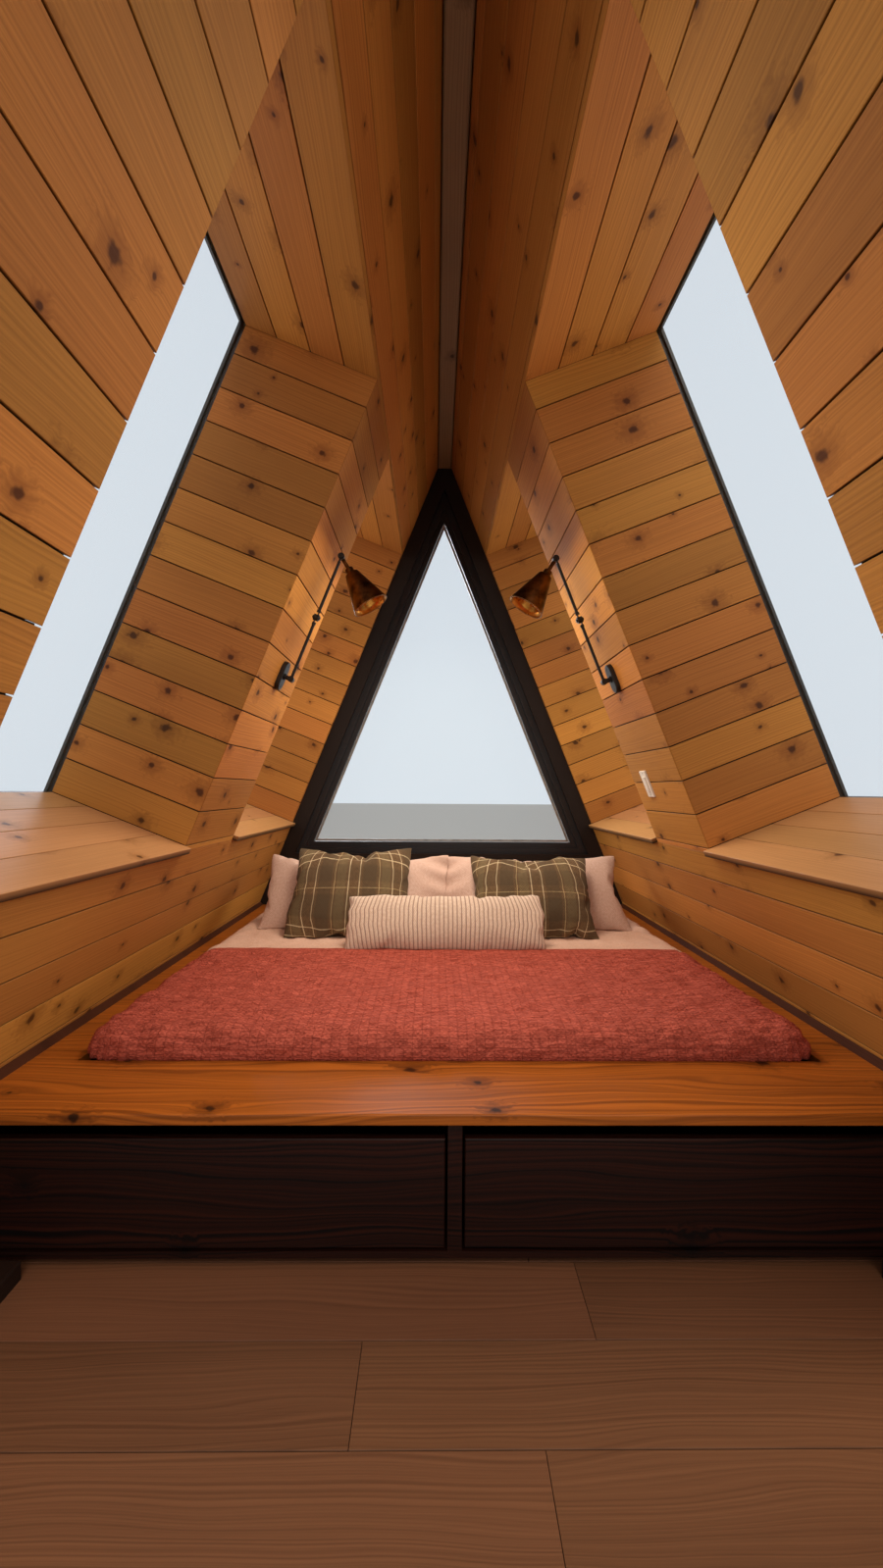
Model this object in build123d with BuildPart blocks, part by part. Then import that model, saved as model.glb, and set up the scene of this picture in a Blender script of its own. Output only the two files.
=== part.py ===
"""Sleeping bay of an A-frame cabin, open at the front, glazed at the far end.

X is across the bay, Y runs in from the open front, Z is up from the ground, and the
origin is on the ground under the middle. Heights inside the room are above its floor.
"""
from build123d import *
from math import atan2, cos, radians, sin
import os

# Room section: an upright triangle between the two sloping linings
room_half_width = 1265.0
room_height = 3170.0
slope = atan2(room_height, room_half_width)
rise = room_height / room_half_width

# Bays along Y: rib, window, rib, window, rib
rib_width = 532.0
window_width = 1120.0
bay_length = 3 * rib_width + 2 * window_width
front_end = -bay_length / 2
back_end = bay_length / 2
rib_starts = [front_end + number * (rib_width + window_width) for number in range(3)]
window_middles = [start + rib_width + window_width / 2 for start in rib_starts[:2]]

# Layers of the sloping walls, counted outwards from the face of the lining
lining_thickness = 20.0
core_thickness = 240.0
roofing_thickness = 25.0
core_out = lining_thickness + core_thickness
roofing_out = core_out + roofing_thickness
seam_height = 30.0
seam_width = 12.0
seam_pitch = 400.0

# Window boxes: straight tubes square to the slope, with the pane at their outer end
sill_height = 862.0
head_height = 2517.0
glass_out = 504.0
glass_thickness = 24.0
glass_lap = 22.0
box_wall = 45.0
fit_gap = 1.0
sill_board = 20.0
sill_nosing = 22.0
sill_round = 6.0
window_frame_width = 42.0
window_frame_lip = 10.0
upstand_height = 70.0
upstand_width = 14.0
sill_up = sill_height / sin(slope)
head_up = head_height / sin(slope)

# Floor
skid_height = 90.0
skid_width = 140.0
skid_offset = 1300.0
cassette_height = 190.0
floor_board = 20.0
floor_top = skid_height + cassette_height + floor_board
eave_drop = 230.0

# Ridge and the portals that cap both ends of the bay
beam_width = 79.0
beam_height = 240.0
beam_drop = 110.0
beam_bottom = room_height - beam_drop
beam_arris = 5.0
cap_width = 180.0
cap_lap = 90.0
cap_thickness = 6.0
portal_thickness = 30.0

# Glazed end wall
end_wall_setback = 12.0
end_wall_face = back_end - rib_width + end_wall_setback
end_wall_thickness = 80.0
end_glass_setback = 60.0
end_glass_face = back_end - rib_width + end_glass_setback
end_glass_base = 740.0
end_stile_width = 157.5
end_glass_apex = room_height - end_stile_width / cos(slope)
end_rail_width = 18.0
sash_width = 70.0
sash_depth = 52.0
sash_bead = 32.0
sash_step = 14.0
panel_top = end_glass_base - sash_width - end_rail_width

# Bed platform with its sunk mattress
platform_front = -1099.0
platform_top_height = 354.0
platform_board = 25.0
nosing_depth = 20.0
nosing_round = 4.0
base_front = platform_front + nosing_depth
base_side_gap = 34.0
under_board = platform_top_height - platform_board
base_half_width = room_half_width - under_board / rise - base_side_gap
mattress_half_width = 965.0
mattress_length = 2030.0
mattress_front = -815.0
mattress_thickness = 200.0
mattress_round = 60.0
mattress_bottom = 215.0
mattress_gap = 10.0
base_board = 15.0
toe_height = 28.0
toe_depth = 40.0
stile_width = 32.0

# Drawers
drawer_floor = 50.0
drawer_clearance = 6.0
drawer_front_top = 290.0
drawer_box_height = 112.0
drawer_length = 620.0
drawer_board = 12.0
drawer_panel = 20.0
drawer_arris = 2.0
runner_width = 24.0
runner_gap = 0.3
joint_gap = 0.3
side_board = 25.0

# Bedding
cover_thickness = 12.0
cover_round_share = 0.9
quilt_back = 40.0
sheet_thickness = 6.0
pillow_lean = 40.0
pillow_round_share = 0.42
bed_pillow_width = 860.0
bed_pillow_height = 370.0
bed_pillow_thickness = 120.0
bed_pillow_row = 470.0
bed_pillow_offset = 436.0
plaid_pillow_width = 556.0
plaid_pillow_height = 430.0
plaid_pillow_thickness = 120.0
plaid_pillow_row = 300.0
plaid_pillow_slump = 40.0
left_plaid_offset = 427.0
right_plaid_offset = 398.0
lumbar_width = 820.0
lumbar_height = 225.0
lumbar_thickness = 100.0
lumbar_row = 75.0

# Reading lights on the middle ribs
lamp_standoff = 45.0
lamp_foot_up = 1630.0
lamp_lower_arm = 264.0
lamp_upper_arm = 261.0
lamp_elbow_up = lamp_foot_up + lamp_lower_arm
lamp_top_up = lamp_elbow_up + lamp_upper_arm
rod_radius = 6.0
stem_radius = 9.0
eye_radius = 13.0
eye_thickness = 10.0
eye_gap = 0.4
knuckle_reach = 8.0
shade_lean = 31.3
neck_length = 75.0
neck_radius = 7.5
neck_inset = 0.5
shade_length = 150.0
shade_top_radius = 28.0
shade_rim_radius = 74.0
shade_wall = 2.0
shade_round = 4.0
socket_length = 23.0
socket_radius = 17.0
socket_round = 3.0
plate_width = 62.0
plate_length = 118.0
plate_thickness = 18.0
plate_round = 4.0
collar_radius = 13.0
collar_height = 4.0
knuckle_radius = 12.0
knuckle_length = 22.0
ferrule_radius = 8.0
ferrule_length = 10.0
nut_radius = 7.0
nut_height = 5.0
nut_taper = 8.0

# Small fittings
kerb_half_gap = 938.0
kerb_height = 40.0
kerb_round = 5.0
trim_size = 18.0
switch_up = 1180.0
switch_y = 98.0
switch_width = 70.0
switch_height = 114.0
switch_thickness = 6.0
rocker_width = 34.0
rocker_height = 66.0
rocker_proud = 4.0
switch_taper = 12.0

LEFT, RIGHT = -1, 1
SIDES = {"left": LEFT, "right": RIGHT}


def level_point(side, height, out):
    """Point at a height above the floor, on the wall layer that lies out from the lining."""
    return side * (room_half_width + out / sin(slope) - height / rise), floor_top + height


def square_point(side, up, out):
    """Point at a distance up the lining, then straight out from it."""
    across = room_half_width - up * cos(slope) + out * sin(slope)
    return side * across, floor_top + up * sin(slope) + out * cos(slope)


def slope_plane(side, y, up, out):
    """Plane on the slope: x along the bay, y up the slope, z outwards."""
    across, height = square_point(side, up, out)
    return Plane(
        origin=(across, y, height),
        x_dir=(0, side, 0),
        z_dir=(side * sin(slope), 0, cos(slope)),
    )


def prism(points, y_from, y_to, mode=Mode.ADD):
    """Section in XZ carried along Y, inside the part block that calls it."""
    with BuildSketch(Plane.XZ.offset(-y_from)) as section:
        with BuildLine():
            Polyline(*points, close=True)
        make_face()
    extrude(section.sketch, amount=y_from - y_to, mode=mode)


def block(x_from, x_to, y_from, y_to, z_from, z_to, mode=Mode.ADD):
    """Straight block between two corners, inside the part block that calls it."""
    with BuildSketch(Plane.XY.offset(z_from)) as outline:
        with Locations(((x_from + x_to) / 2, (y_from + y_to) / 2)):
            Rectangle(abs(x_to - x_from), abs(y_to - y_from))
    extrude(outline.sketch, amount=z_to - z_from, mode=mode)


def slope_block(side, y, up_from, up_to, width, out_from, out_to, mode=Mode.ADD):
    """Block square to the slope, inside the part block that calls it."""
    with BuildSketch(slope_plane(side, y, (up_from + up_to) / 2, out_from)) as outline:
        Rectangle(width, up_to - up_from)
    extrude(outline.sketch, amount=out_to - out_from, mode=mode)


def rough_opening(side, out_from, out_to, grow):
    """Cut both window openings of a side, grown all round."""
    for y in window_middles:
        slope_block(
            side, y, sill_up - sill_board - grow, head_up + grow,
            window_width + 2 * grow, out_from, out_to, mode=Mode.SUBTRACT,
        )


def save(piece, name):
    """Label a finished piece and write it under its own name."""
    piece.part.label = name
    export_step(piece.part, f"parts/{name}.step")


def floor_pieces():
    """Skids, insulated cassette and boards."""
    with BuildPart() as skids:
        for x in (-skid_offset, 0, skid_offset):
            block(x - skid_width / 2, x + skid_width / 2, front_end, back_end, 0, skid_height)
    save(skids, "skids")

    top = -floor_board
    bottom = top - cassette_height
    with BuildPart() as cassette:
        prism(
            [level_point(LEFT, bottom, core_out), level_point(RIGHT, bottom, core_out),
             level_point(RIGHT, top, core_out), level_point(LEFT, top, core_out)],
            front_end, back_end,
        )
    save(cassette, "floor_cassette")

    half = room_half_width - fit_gap
    with BuildPart() as boards:
        block(-half, half, front_end, back_end, floor_top + top, floor_top)
    save(boards, "floor_boards")


def wall_pieces(name, side):
    """One sloping side: wall below the windows, ribs, wall above, lining and roofing."""
    grow = box_wall + fit_gap
    sill_cut = sill_up - sill_board - grow
    head_cut = head_up + grow
    beam_side = side * (beam_width / 2 + fit_gap)
    beam_top = floor_top + beam_bottom + beam_height + fit_gap

    with BuildPart() as lower:
        prism(
            [level_point(side, -floor_board, lining_thickness),
             level_point(side, -floor_board, core_out),
             square_point(side, sill_cut, core_out),
             square_point(side, sill_cut, lining_thickness)],
            front_end, back_end,
        )
    save(lower, f"{name}_lower_wall")

    with BuildPart() as ribs:
        for number, start in enumerate(rib_starts):
            y_from = start if number == 0 else start + grow
            y_to = start + rib_width if number == 2 else start + rib_width - grow
            prism(
                [square_point(side, sill_cut, lining_thickness),
                 square_point(side, sill_cut, core_out),
                 square_point(side, head_cut, core_out),
                 square_point(side, head_cut, lining_thickness)],
                y_from, y_to,
            )
    save(ribs, f"{name}_ribs")

    def at_beam(out):
        return beam_side, floor_top + room_height + out / cos(slope) - abs(beam_side) * rise

    with BuildPart() as upper:
        prism(
            [square_point(side, head_cut, lining_thickness),
             square_point(side, head_cut, core_out),
             (0, floor_top + room_height + core_out / cos(slope)),
             (0, beam_top), (beam_side, beam_top), at_beam(lining_thickness)],
            front_end, back_end,
        )
    save(upper, f"{name}_upper_wall")

    with BuildPart() as lining:
        prism(
            [level_point(side, -floor_board, 0), level_point(side, -floor_board, lining_thickness),
             at_beam(lining_thickness), at_beam(0)],
            front_end, back_end,
        )
        rough_opening(side, -lining_thickness, 2 * lining_thickness, 0)
    save(lining, f"{name}_lining")

    with BuildPart() as roofing:
        apex = floor_top + room_height
        prism(
            [level_point(side, -eave_drop, core_out), level_point(side, -eave_drop, roofing_out),
             (0, apex + roofing_out / cos(slope)), (0, apex + core_out / cos(slope))],
            front_end, back_end,
        )
        seam_count = int(bay_length // seam_pitch)
        seam_low = -(eave_drop + roofing_out * cos(slope)) / sin(slope)
        seam_top = (room_half_width + roofing_out * sin(slope)) / cos(slope) - cap_lap
        for number in range(seam_count + 1):
            y = (number - seam_count / 2) * seam_pitch
            slope_block(side, y, seam_low, seam_top, seam_width,
                        roofing_out, roofing_out + seam_height)
        upstand_out = roofing_out + upstand_height
        for y in window_middles:
            outer = grow + upstand_width
            slope_block(side, y, sill_up - sill_board - outer, head_up + outer,
                        window_width + 2 * outer, roofing_out, upstand_out)
        rough_opening(side, core_out - seam_height, upstand_out + seam_height, grow)
    save(roofing, f"{name}_roofing")


def window_pieces():
    """Box, sill board, pane and frame of each of the four side windows."""
    def ring(side, y, inner, outer, out_from, out_to, floor_lap=0.0):
        """Rectangular tube round the opening, between two distances from its edge."""
        slope_block(side, y, sill_up - outer, head_up + outer,
                    window_width + 2 * outer, out_from, out_to)
        slope_block(side, y, sill_up - inner - floor_lap, head_up + inner,
                    window_width + 2 * inner, out_from, out_to, mode=Mode.SUBTRACT)

    for name, side in SIDES.items():
        with BuildPart() as boxes:
            for y in window_middles:
                slope_block(side, y, sill_up - sill_board - box_wall, head_up + box_wall,
                            window_width + 2 * box_wall, lining_thickness, glass_out)
                slope_block(side, y, sill_up - sill_board, head_up,
                            window_width, lining_thickness, glass_out, mode=Mode.SUBTRACT)
        save(boxes, f"{name}_window_boxes")

    with BuildPart() as sills:
        for side in SIDES.values():
            for y in window_middles:
                slope_block(side, y, sill_up - sill_board, sill_up,
                            window_width, -sill_nosing, glass_out)
        for side in SIDES.values():
            for y in window_middles:
                near = slope_plane(side, y, sill_up - sill_board / 2, -sill_nosing).origin
                front = sills.faces().sort_by(lambda face: (face.center() - near).length)[0]
                fillet(front.edges().filter_by(Axis.Y), radius=sill_round)
    save(sills, "window_sills")

    with BuildPart() as panes:
        for side in SIDES.values():
            for y in window_middles:
                slope_block(side, y, sill_up - glass_lap, head_up + glass_lap,
                            window_width + 2 * glass_lap,
                            glass_out, glass_out + glass_thickness)
    save(panes, "window_panes")

    with BuildPart() as frames:
        for side in SIDES.values():
            for y in window_middles:
                rim = glass_out + glass_thickness
                outer = glass_lap + window_frame_width
                ring(side, y, glass_lap, outer, glass_out, rim)
                ring(side, y, window_frame_lip, outer, rim, rim + window_frame_lip)
    save(frames, "window_frames")


def ridge_pieces():
    """Exposed ridge beam inside, folded cap outside."""
    with BuildPart() as beam:
        bottom = floor_top + beam_bottom
        block(-beam_width / 2, beam_width / 2, front_end, back_end, bottom, bottom + beam_height)
        chamfer(beam.edges().filter_by(Axis.Y).group_by(Axis.Z)[0], length=beam_arris)
    save(beam, "ridge_beam")

    with BuildPart() as cap:
        seat = roofing_out + seam_height
        top = floor_top + room_height + seat / cos(slope)
        over = top + cap_thickness / cos(slope)
        reach = cap_width * cos(slope)
        drop = cap_width * sin(slope)
        edge_x = reach + cap_thickness * sin(slope)
        edge_z = top - drop + cap_thickness * cos(slope)
        prism(
            [(0, over), (edge_x, edge_z), (reach, top - drop), (0, top),
             (-reach, top - drop), (-edge_x, edge_z)],
            front_end, back_end,
        )
    save(cap, "ridge_cap")


def portal(y_from, y_to):
    """Frame that caps the cut end of both walls and the floor."""
    out = roofing_out + seam_height
    beam_edge = (room_height - beam_bottom) / rise
    prism(
        [level_point(LEFT, -eave_drop, out), level_point(RIGHT, -eave_drop, out),
         (0, floor_top + room_height + out / cos(slope))],
        y_from, y_to,
    )
    prism(
        [level_point(LEFT, 0, 0), level_point(RIGHT, 0, 0),
         (beam_edge, floor_top + beam_bottom), (-beam_edge, floor_top + beam_bottom)],
        y_from, y_to, mode=Mode.SUBTRACT,
    )


def end_triangle(grow):
    """Corners of the far window's triangle, grown all round."""
    base = end_glass_base - grow
    apex = end_glass_apex + grow / cos(slope)
    half = (apex - base) / rise
    return [(-half, floor_top + base), (half, floor_top + base), (0, floor_top + apex)]


def end_pieces():
    """Portals at both ends and the glazed wall at the far one."""
    with BuildPart() as front:
        portal(front_end - portal_thickness, front_end)
    save(front, "front_portal")

    with BuildPart() as back:
        portal(back_end, back_end + portal_thickness)
    save(back, "rear_portal")

    y_back = end_wall_face + end_wall_thickness
    with BuildPart() as panel:
        prism(
            [level_point(LEFT, 0, -fit_gap), level_point(RIGHT, 0, -fit_gap),
             level_point(RIGHT, panel_top, -fit_gap), level_point(LEFT, panel_top, -fit_gap)],
            end_wall_face, y_back,
        )
    save(panel, "end_wall_panel")

    with BuildPart() as frame:
        prism(
            [level_point(LEFT, panel_top, -fit_gap), level_point(RIGHT, panel_top, -fit_gap),
             level_point(RIGHT, beam_bottom, -fit_gap), level_point(LEFT, beam_bottom, -fit_gap)],
            end_wall_face, y_back,
        )
        prism(end_triangle(sash_width), end_wall_face, y_back, mode=Mode.SUBTRACT)
    save(frame, "end_window_frame")

    sash_face = end_glass_face - (sash_depth - glass_thickness) / 2
    with BuildPart() as sash:
        prism(end_triangle(sash_width), sash_face, sash_face + sash_depth)
        prism(end_triangle(sash_bead), sash_face, sash_face + sash_step, mode=Mode.SUBTRACT)
        prism(end_triangle(0), sash_face, sash_face + sash_depth, mode=Mode.SUBTRACT)
    save(sash, "end_window_sash")

    with BuildPart() as pane:
        prism(end_triangle(0), end_glass_face, end_glass_face + glass_thickness)
    save(pane, "end_window_pane")


def bed_pieces():
    """Carcass of panels with a well for the mattress, its top board, two drawers under it."""
    top = floor_top + platform_top_height
    under = top - platform_board
    well_half = mattress_half_width + mattress_gap
    well_front = mattress_front - mattress_gap
    well_back = mattress_front + mattress_length + mattress_gap
    well_floor = floor_top + mattress_bottom
    bay_top = well_floor - base_board
    bay_floor = floor_top + drawer_floor - drawer_clearance
    bay_outer = base_half_width - side_board
    half_stile = stile_width / 2
    drawer_inner = half_stile + drawer_clearance
    drawer_outer = bay_outer - drawer_clearance

    well_wall = well_front - side_board
    inner_half = bay_outer - joint_gap
    back_panel = end_wall_face - side_board

    with BuildPart() as base:
        block(-base_half_width, base_half_width, base_front + toe_depth, end_wall_face,
              floor_top, floor_top + toe_height - joint_gap)
        block(-base_half_width, base_half_width, base_front, end_wall_face,
              floor_top + toe_height, bay_floor - joint_gap)
        block(-half_stile, half_stile, base_front, well_wall - joint_gap, bay_floor, under)
        block(-half_stile, half_stile, well_wall, back_panel - joint_gap,
              bay_floor, bay_top - joint_gap)
        block(-inner_half, inner_half, back_panel, end_wall_face, bay_floor, bay_top - joint_gap)
        block(-inner_half, inner_half, well_wall, end_wall_face, bay_top, well_floor)
        block(joint_gap - well_half, well_half - joint_gap, well_wall, well_front,
              well_floor + joint_gap, under)
        block(joint_gap - well_half, well_half - joint_gap, well_back, end_wall_face,
              well_floor + joint_gap, under)
        for side in SIDES.values():
            block(side * bay_outer, side * base_half_width, base_front, end_wall_face,
                  bay_floor, under)
            block(side * well_half, side * inner_half, well_wall, end_wall_face,
                  well_floor + joint_gap, under)
            for edge, inward in ((drawer_inner, 1), (drawer_outer, -1)):
                block(side * edge, side * (edge + inward * runner_width),
                      base_front + toe_depth, base_front + drawer_length,
                      bay_floor, floor_top + drawer_floor - runner_gap)
    save(base, "bed_base")

    with BuildPart() as board:
        prism(
            [level_point(LEFT, platform_top_height - platform_board, -fit_gap),
             level_point(RIGHT, platform_top_height - platform_board, -fit_gap),
             level_point(RIGHT, platform_top_height, -fit_gap),
             level_point(LEFT, platform_top_height, -fit_gap)],
            platform_front, end_wall_face,
        )
        block(-well_half, well_half, well_front, well_back, under, top, mode=Mode.SUBTRACT)
        nosing = board.faces().sort_by(Axis.Y)[0]
        fillet(nosing.edges().filter_by(Axis.X), radius=nosing_round)
    save(board, "bed_platform")

    for name, side in SIDES.items():
        bottom = floor_top + drawer_floor
        outer = drawer_outer
        panel_back = base_front + drawer_panel
        with BuildPart() as drawer:
            block(side * drawer_inner, side * outer, base_front, panel_back,
                  bottom, floor_top + drawer_front_top)
            chamfer(drawer.faces().sort_by(Axis.Y)[0].edges(), length=drawer_arris)
            block(side * drawer_inner, side * outer, panel_back, base_front + drawer_length,
                  bottom, bottom + drawer_box_height)
            block(side * (drawer_inner + drawer_board), side * (outer - drawer_board),
                  panel_back + drawer_board, base_front + drawer_length - drawer_board,
                  bottom + drawer_board, bottom + drawer_box_height, mode=Mode.SUBTRACT)
        save(drawer, f"{name}_drawer")

    with BuildPart() as trims:
        for side in SIDES.values():
            height = platform_top_height
            foot_x, foot_z = level_point(side, height, -fit_gap)
            peak_x, peak_z = level_point(side, height + trim_size, -fit_gap)
            prism(
                [(foot_x, foot_z), (peak_x, peak_z), (peak_x - side * trim_size, foot_z)],
                platform_front, end_wall_face,
            )
    save(trims, "bed_trims")

    with BuildPart() as kerbs:
        for side in SIDES.values():
            prism(
                [(side * kerb_half_gap, floor_top), level_point(side, 0, -fit_gap),
                 level_point(side, kerb_height, -fit_gap),
                 (side * kerb_half_gap, floor_top + kerb_height)],
                front_end, base_front - nosing_depth - fit_gap,
            )
        tops = kerbs.edges().filter_by(Axis.Y).group_by(Axis.Z)[-1]
        fillet(tops.sort_by(lambda edge: abs(edge.center().X))[:2], radius=kerb_round)
    save(kerbs, "floor_kerbs")


def bedding_pieces():
    """Mattress in its well, covers on it, pillows leaning back at the head."""
    bottom = floor_top + mattress_bottom
    top = bottom + mattress_thickness
    back = mattress_front + mattress_length
    with BuildPart() as mattress:
        block(-mattress_half_width, mattress_half_width, mattress_front, back, bottom, top)
        fillet(mattress.edges().filter_by(Axis.Z), radius=mattress_round)
    save(mattress, "mattress")

    def cover(name, y_from, y_to, thickness, over_front):
        """Cloth over the mattress that falls to the platform at its free edges."""
        half = mattress_half_width + runner_gap
        outer = half + thickness
        hem = floor_top + platform_top_height + runner_gap
        front = y_from - thickness if over_front else y_from
        inner_front = y_from if over_front else y_from - thickness
        with BuildPart() as cloth:
            block(-outer, outer, front, y_to, hem, top + runner_gap + thickness)
            block(-half, half, inner_front, y_to + thickness, hem, top + runner_gap,
                  mode=Mode.SUBTRACT)
            sides = cloth.faces().sort_by(Axis.Z)[-1].edges().filter_by(Axis.Y)
            fillet(sides, radius=thickness * cover_round_share)
        save(cloth, name)

    quilt_front = mattress_front - runner_gap
    cover("quilt", quilt_front, quilt_back, cover_thickness, True)
    cover("bed_sheet", quilt_back + fit_gap, back, sheet_thickness, False)

    seat = top + runner_gap + sheet_thickness + runner_gap
    turn = radians(pillow_lean)

    def pillow(name, x, y, width, height, thickness):
        """Leaning pillow with round edges, its lower back edge resting at y."""
        edge = thickness * pillow_round_share
        settle = edge * (cos(turn) + sin(turn) - 1)
        facing = Vector(0, -cos(turn), sin(turn))
        rest = Plane(origin=(x, y, seat - settle), x_dir=(1, 0, 0), z_dir=facing)
        with BuildPart() as cushion:
            with BuildSketch(rest):
                with Locations((0, height / 2)):
                    RectangleRounded(width, height, thickness / 2)
            extrude(amount=thickness)
            across = Axis(rest.origin, facing)
            broad = cushion.faces().sort_by(across)
            fillet(broad[0].edges() + broad[-1].edges(), radius=edge)
        save(cushion, name)

    for name, side in SIDES.items():
        pillow(f"{name}_bed_pillow", side * bed_pillow_offset, bed_pillow_row,
               bed_pillow_width, bed_pillow_height, bed_pillow_thickness)
    pillow("left_plaid_pillow", -left_plaid_offset, plaid_pillow_row,
           plaid_pillow_width, plaid_pillow_height, plaid_pillow_thickness)
    pillow("right_plaid_pillow", right_plaid_offset, plaid_pillow_row,
           plaid_pillow_width, plaid_pillow_height - plaid_pillow_slump, plaid_pillow_thickness)
    pillow("lumbar_pillow", 0, lumbar_row, lumbar_width, lumbar_height, lumbar_thickness)


def lamp_pieces():
    """Jointed reading light on each middle rib."""
    for name, side in SIDES.items():
        elbow = slope_plane(side, 0, lamp_elbow_up, -lamp_standoff)
        foot = slope_plane(side, 0, lamp_foot_up, -plate_thickness)
        top_x, top_z = flat_point(side, lamp_top_up)
        clear = eye_radius + knuckle_reach

        with BuildPart() as base:
            with BuildSketch(foot):
                SlotOverall(plate_length, plate_width, rotation=90)
            extrude(amount=plate_thickness - runner_gap)
            front = base.faces().sort_by(Axis(foot.origin, foot.z_dir))[0]
            fillet(front.edges(), radius=plate_round)
            with BuildSketch(foot):
                Circle(collar_radius)
            extrude(amount=-collar_height)
            with BuildSketch(foot):
                Circle(stem_radius)
            extrude(amount=plate_thickness - lamp_standoff)
            with BuildSketch(Plane.XZ.offset(-knuckle_length / 2)):
                with Locations(flat_point(side, lamp_foot_up)):
                    Circle(knuckle_radius)
            extrude(amount=knuckle_length)
            rod(side, lamp_foot_up, lamp_elbow_up - clear)
            ferrule(side, lamp_elbow_up - clear - ferrule_length)
            with BuildSketch(elbow.offset(eye_gap / 2)):
                Circle(eye_radius)
            extrude(amount=eye_thickness)
            nut(elbow.offset(eye_gap / 2 + eye_thickness), 1)
            slope_block(side, 0, lamp_elbow_up - clear - rod_radius, lamp_elbow_up, rod_radius,
                        -lamp_standoff + eye_gap / 2, -lamp_standoff + rod_radius - fit_gap)
        save(base, f"{name}_lamp_base")

        with BuildPart() as arm:
            rod(side, lamp_elbow_up + clear, lamp_top_up - clear)
            ferrule(side, lamp_elbow_up + clear)
            with BuildSketch(elbow.offset(-eye_gap / 2)):
                Circle(eye_radius)
            extrude(amount=-eye_thickness)
            nut(elbow.offset(-eye_gap / 2 - eye_thickness), -1)
            slope_block(side, 0, lamp_elbow_up, lamp_elbow_up + clear + rod_radius, rod_radius,
                        -lamp_standoff - rod_radius + fit_gap, -lamp_standoff - eye_gap / 2)
            with BuildSketch(Plane.XZ.offset(eye_gap / 2)):
                with Locations((top_x, top_z)):
                    Circle(eye_radius)
            extrude(amount=eye_thickness)
            nut(Plane(origin=(top_x, -eye_gap / 2 - eye_thickness, top_z), x_dir=(1, 0, 0),
                      z_dir=(0, -1, 0)), 1)
            with BuildSketch(up_slope(side, lamp_top_up - clear - rod_radius)):
                with Locations((-rod_radius / 2, 0)):
                    Rectangle(rod_radius - eye_gap, rod_radius)
            extrude(amount=clear + rod_radius)
        save(arm, f"{name}_lamp_arm")

        lean = radians(shade_lean)
        pointing = Vector(-side * sin(lean), 0, -cos(lean))
        pivot = Vector(top_x, eye_gap / 2 + neck_inset + neck_radius, top_z)
        with BuildPart() as shade:
            with BuildSketch(Plane.XZ.offset(-eye_gap / 2)):
                with Locations((top_x, top_z)):
                    Circle(eye_radius)
            extrude(amount=-eye_thickness)
            start = eye_radius - 2 * fit_gap
            socket = neck_length - socket_length
            rim = neck_length + shade_length
            ceiling = neck_length + shade_wall
            turned = Plane(origin=pivot, x_dir=pointing, z_dir=pointing.cross(Vector(0, 1, 0)))
            with BuildSketch(turned) as profile:
                with BuildLine():
                    Polyline(
                        (start, 0), (start, neck_radius), (socket, neck_radius),
                        (socket, socket_radius), (neck_length, socket_radius),
                        (neck_length, shade_top_radius), (rim, shade_rim_radius),
                        (rim, shade_rim_radius - shade_wall),
                        (ceiling, shade_top_radius - shade_wall), (ceiling, 0), close=True,
                    )
                make_face()
                for distance, radius in ((socket, socket_round), (neck_length, shade_round),
                                         (ceiling, shade_round - shade_wall)):
                    across = profile.vertices().filter_by_position(
                        Axis.X, distance - shade_wall / 4, distance + shade_wall / 4)
                    fillet(across.sort_by(Axis.Y)[-1], radius=radius)
            revolve(profile.sketch, axis=Axis(pivot, pointing))
        save(shade, f"{name}_lamp_shade")


def up_slope(side, up):
    """Plane across the lamp arm, looking up the slope, centred on its line."""
    return Plane(
        origin=axis_point(side, up),
        x_dir=(0, 1, 0),
        z_dir=(-side * cos(slope), 0, sin(slope)),
    )


def rod(side, up_from, up_to):
    """Round bar along the slope, inside the part block that calls it."""
    with BuildSketch(up_slope(side, up_from)) as circle:
        Circle(rod_radius)
    extrude(circle.sketch, amount=up_to - up_from)


def ferrule(side, up_from):
    """Sleeve on the end of a bar beside the elbow, inside the part block that calls it."""
    with BuildSketch(up_slope(side, up_from)) as circle:
        Circle(ferrule_radius)
    extrude(circle.sketch, amount=ferrule_length)


def nut(seat, way):
    """Round clamping nut on a joint, inside the part block that calls it."""
    with BuildSketch(seat) as circle:
        Circle(nut_radius)
    extrude(circle.sketch, amount=way * nut_height, taper=nut_taper)


def axis_point(side, up):
    """Point on the lamp arm's centre line, over the middle of the rib."""
    across, height = square_point(side, up, -lamp_standoff)
    return across, 0, height


def flat_point(side, up):
    """The same point as X and Z."""
    across, _, height = axis_point(side, up)
    return across, height


def switch_piece():
    """Light switch on the right middle rib."""
    with BuildPart() as switch:
        for width, height, proud in (
            (switch_width, switch_height, switch_thickness),
            (rocker_width, rocker_height, switch_thickness + rocker_proud),
        ):
            with BuildSketch(slope_plane(RIGHT, switch_y, switch_up, 0)):
                Rectangle(width, height)
            extrude(amount=-proud, taper=switch_taper)
    save(switch, "light_switch")


os.makedirs("parts", exist_ok=True)
floor_pieces()
for side_name, side_sign in SIDES.items():
    wall_pieces(side_name, side_sign)
window_pieces()
ridge_pieces()
end_pieces()
bed_pieces()
bedding_pieces()
lamp_pieces()
switch_piece()
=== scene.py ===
"""Looks of an A-frame cabin's sleeping bay: boards, metal, glass, bedding and reading lights.

Lengths are in metres in the part's own frame: X across the bay, Y in from its open front, Z up.
The sloping walls are measured by three numbers: up the lining from the floor, out from the face
of the lining, and along Y.
"""

import math

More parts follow.
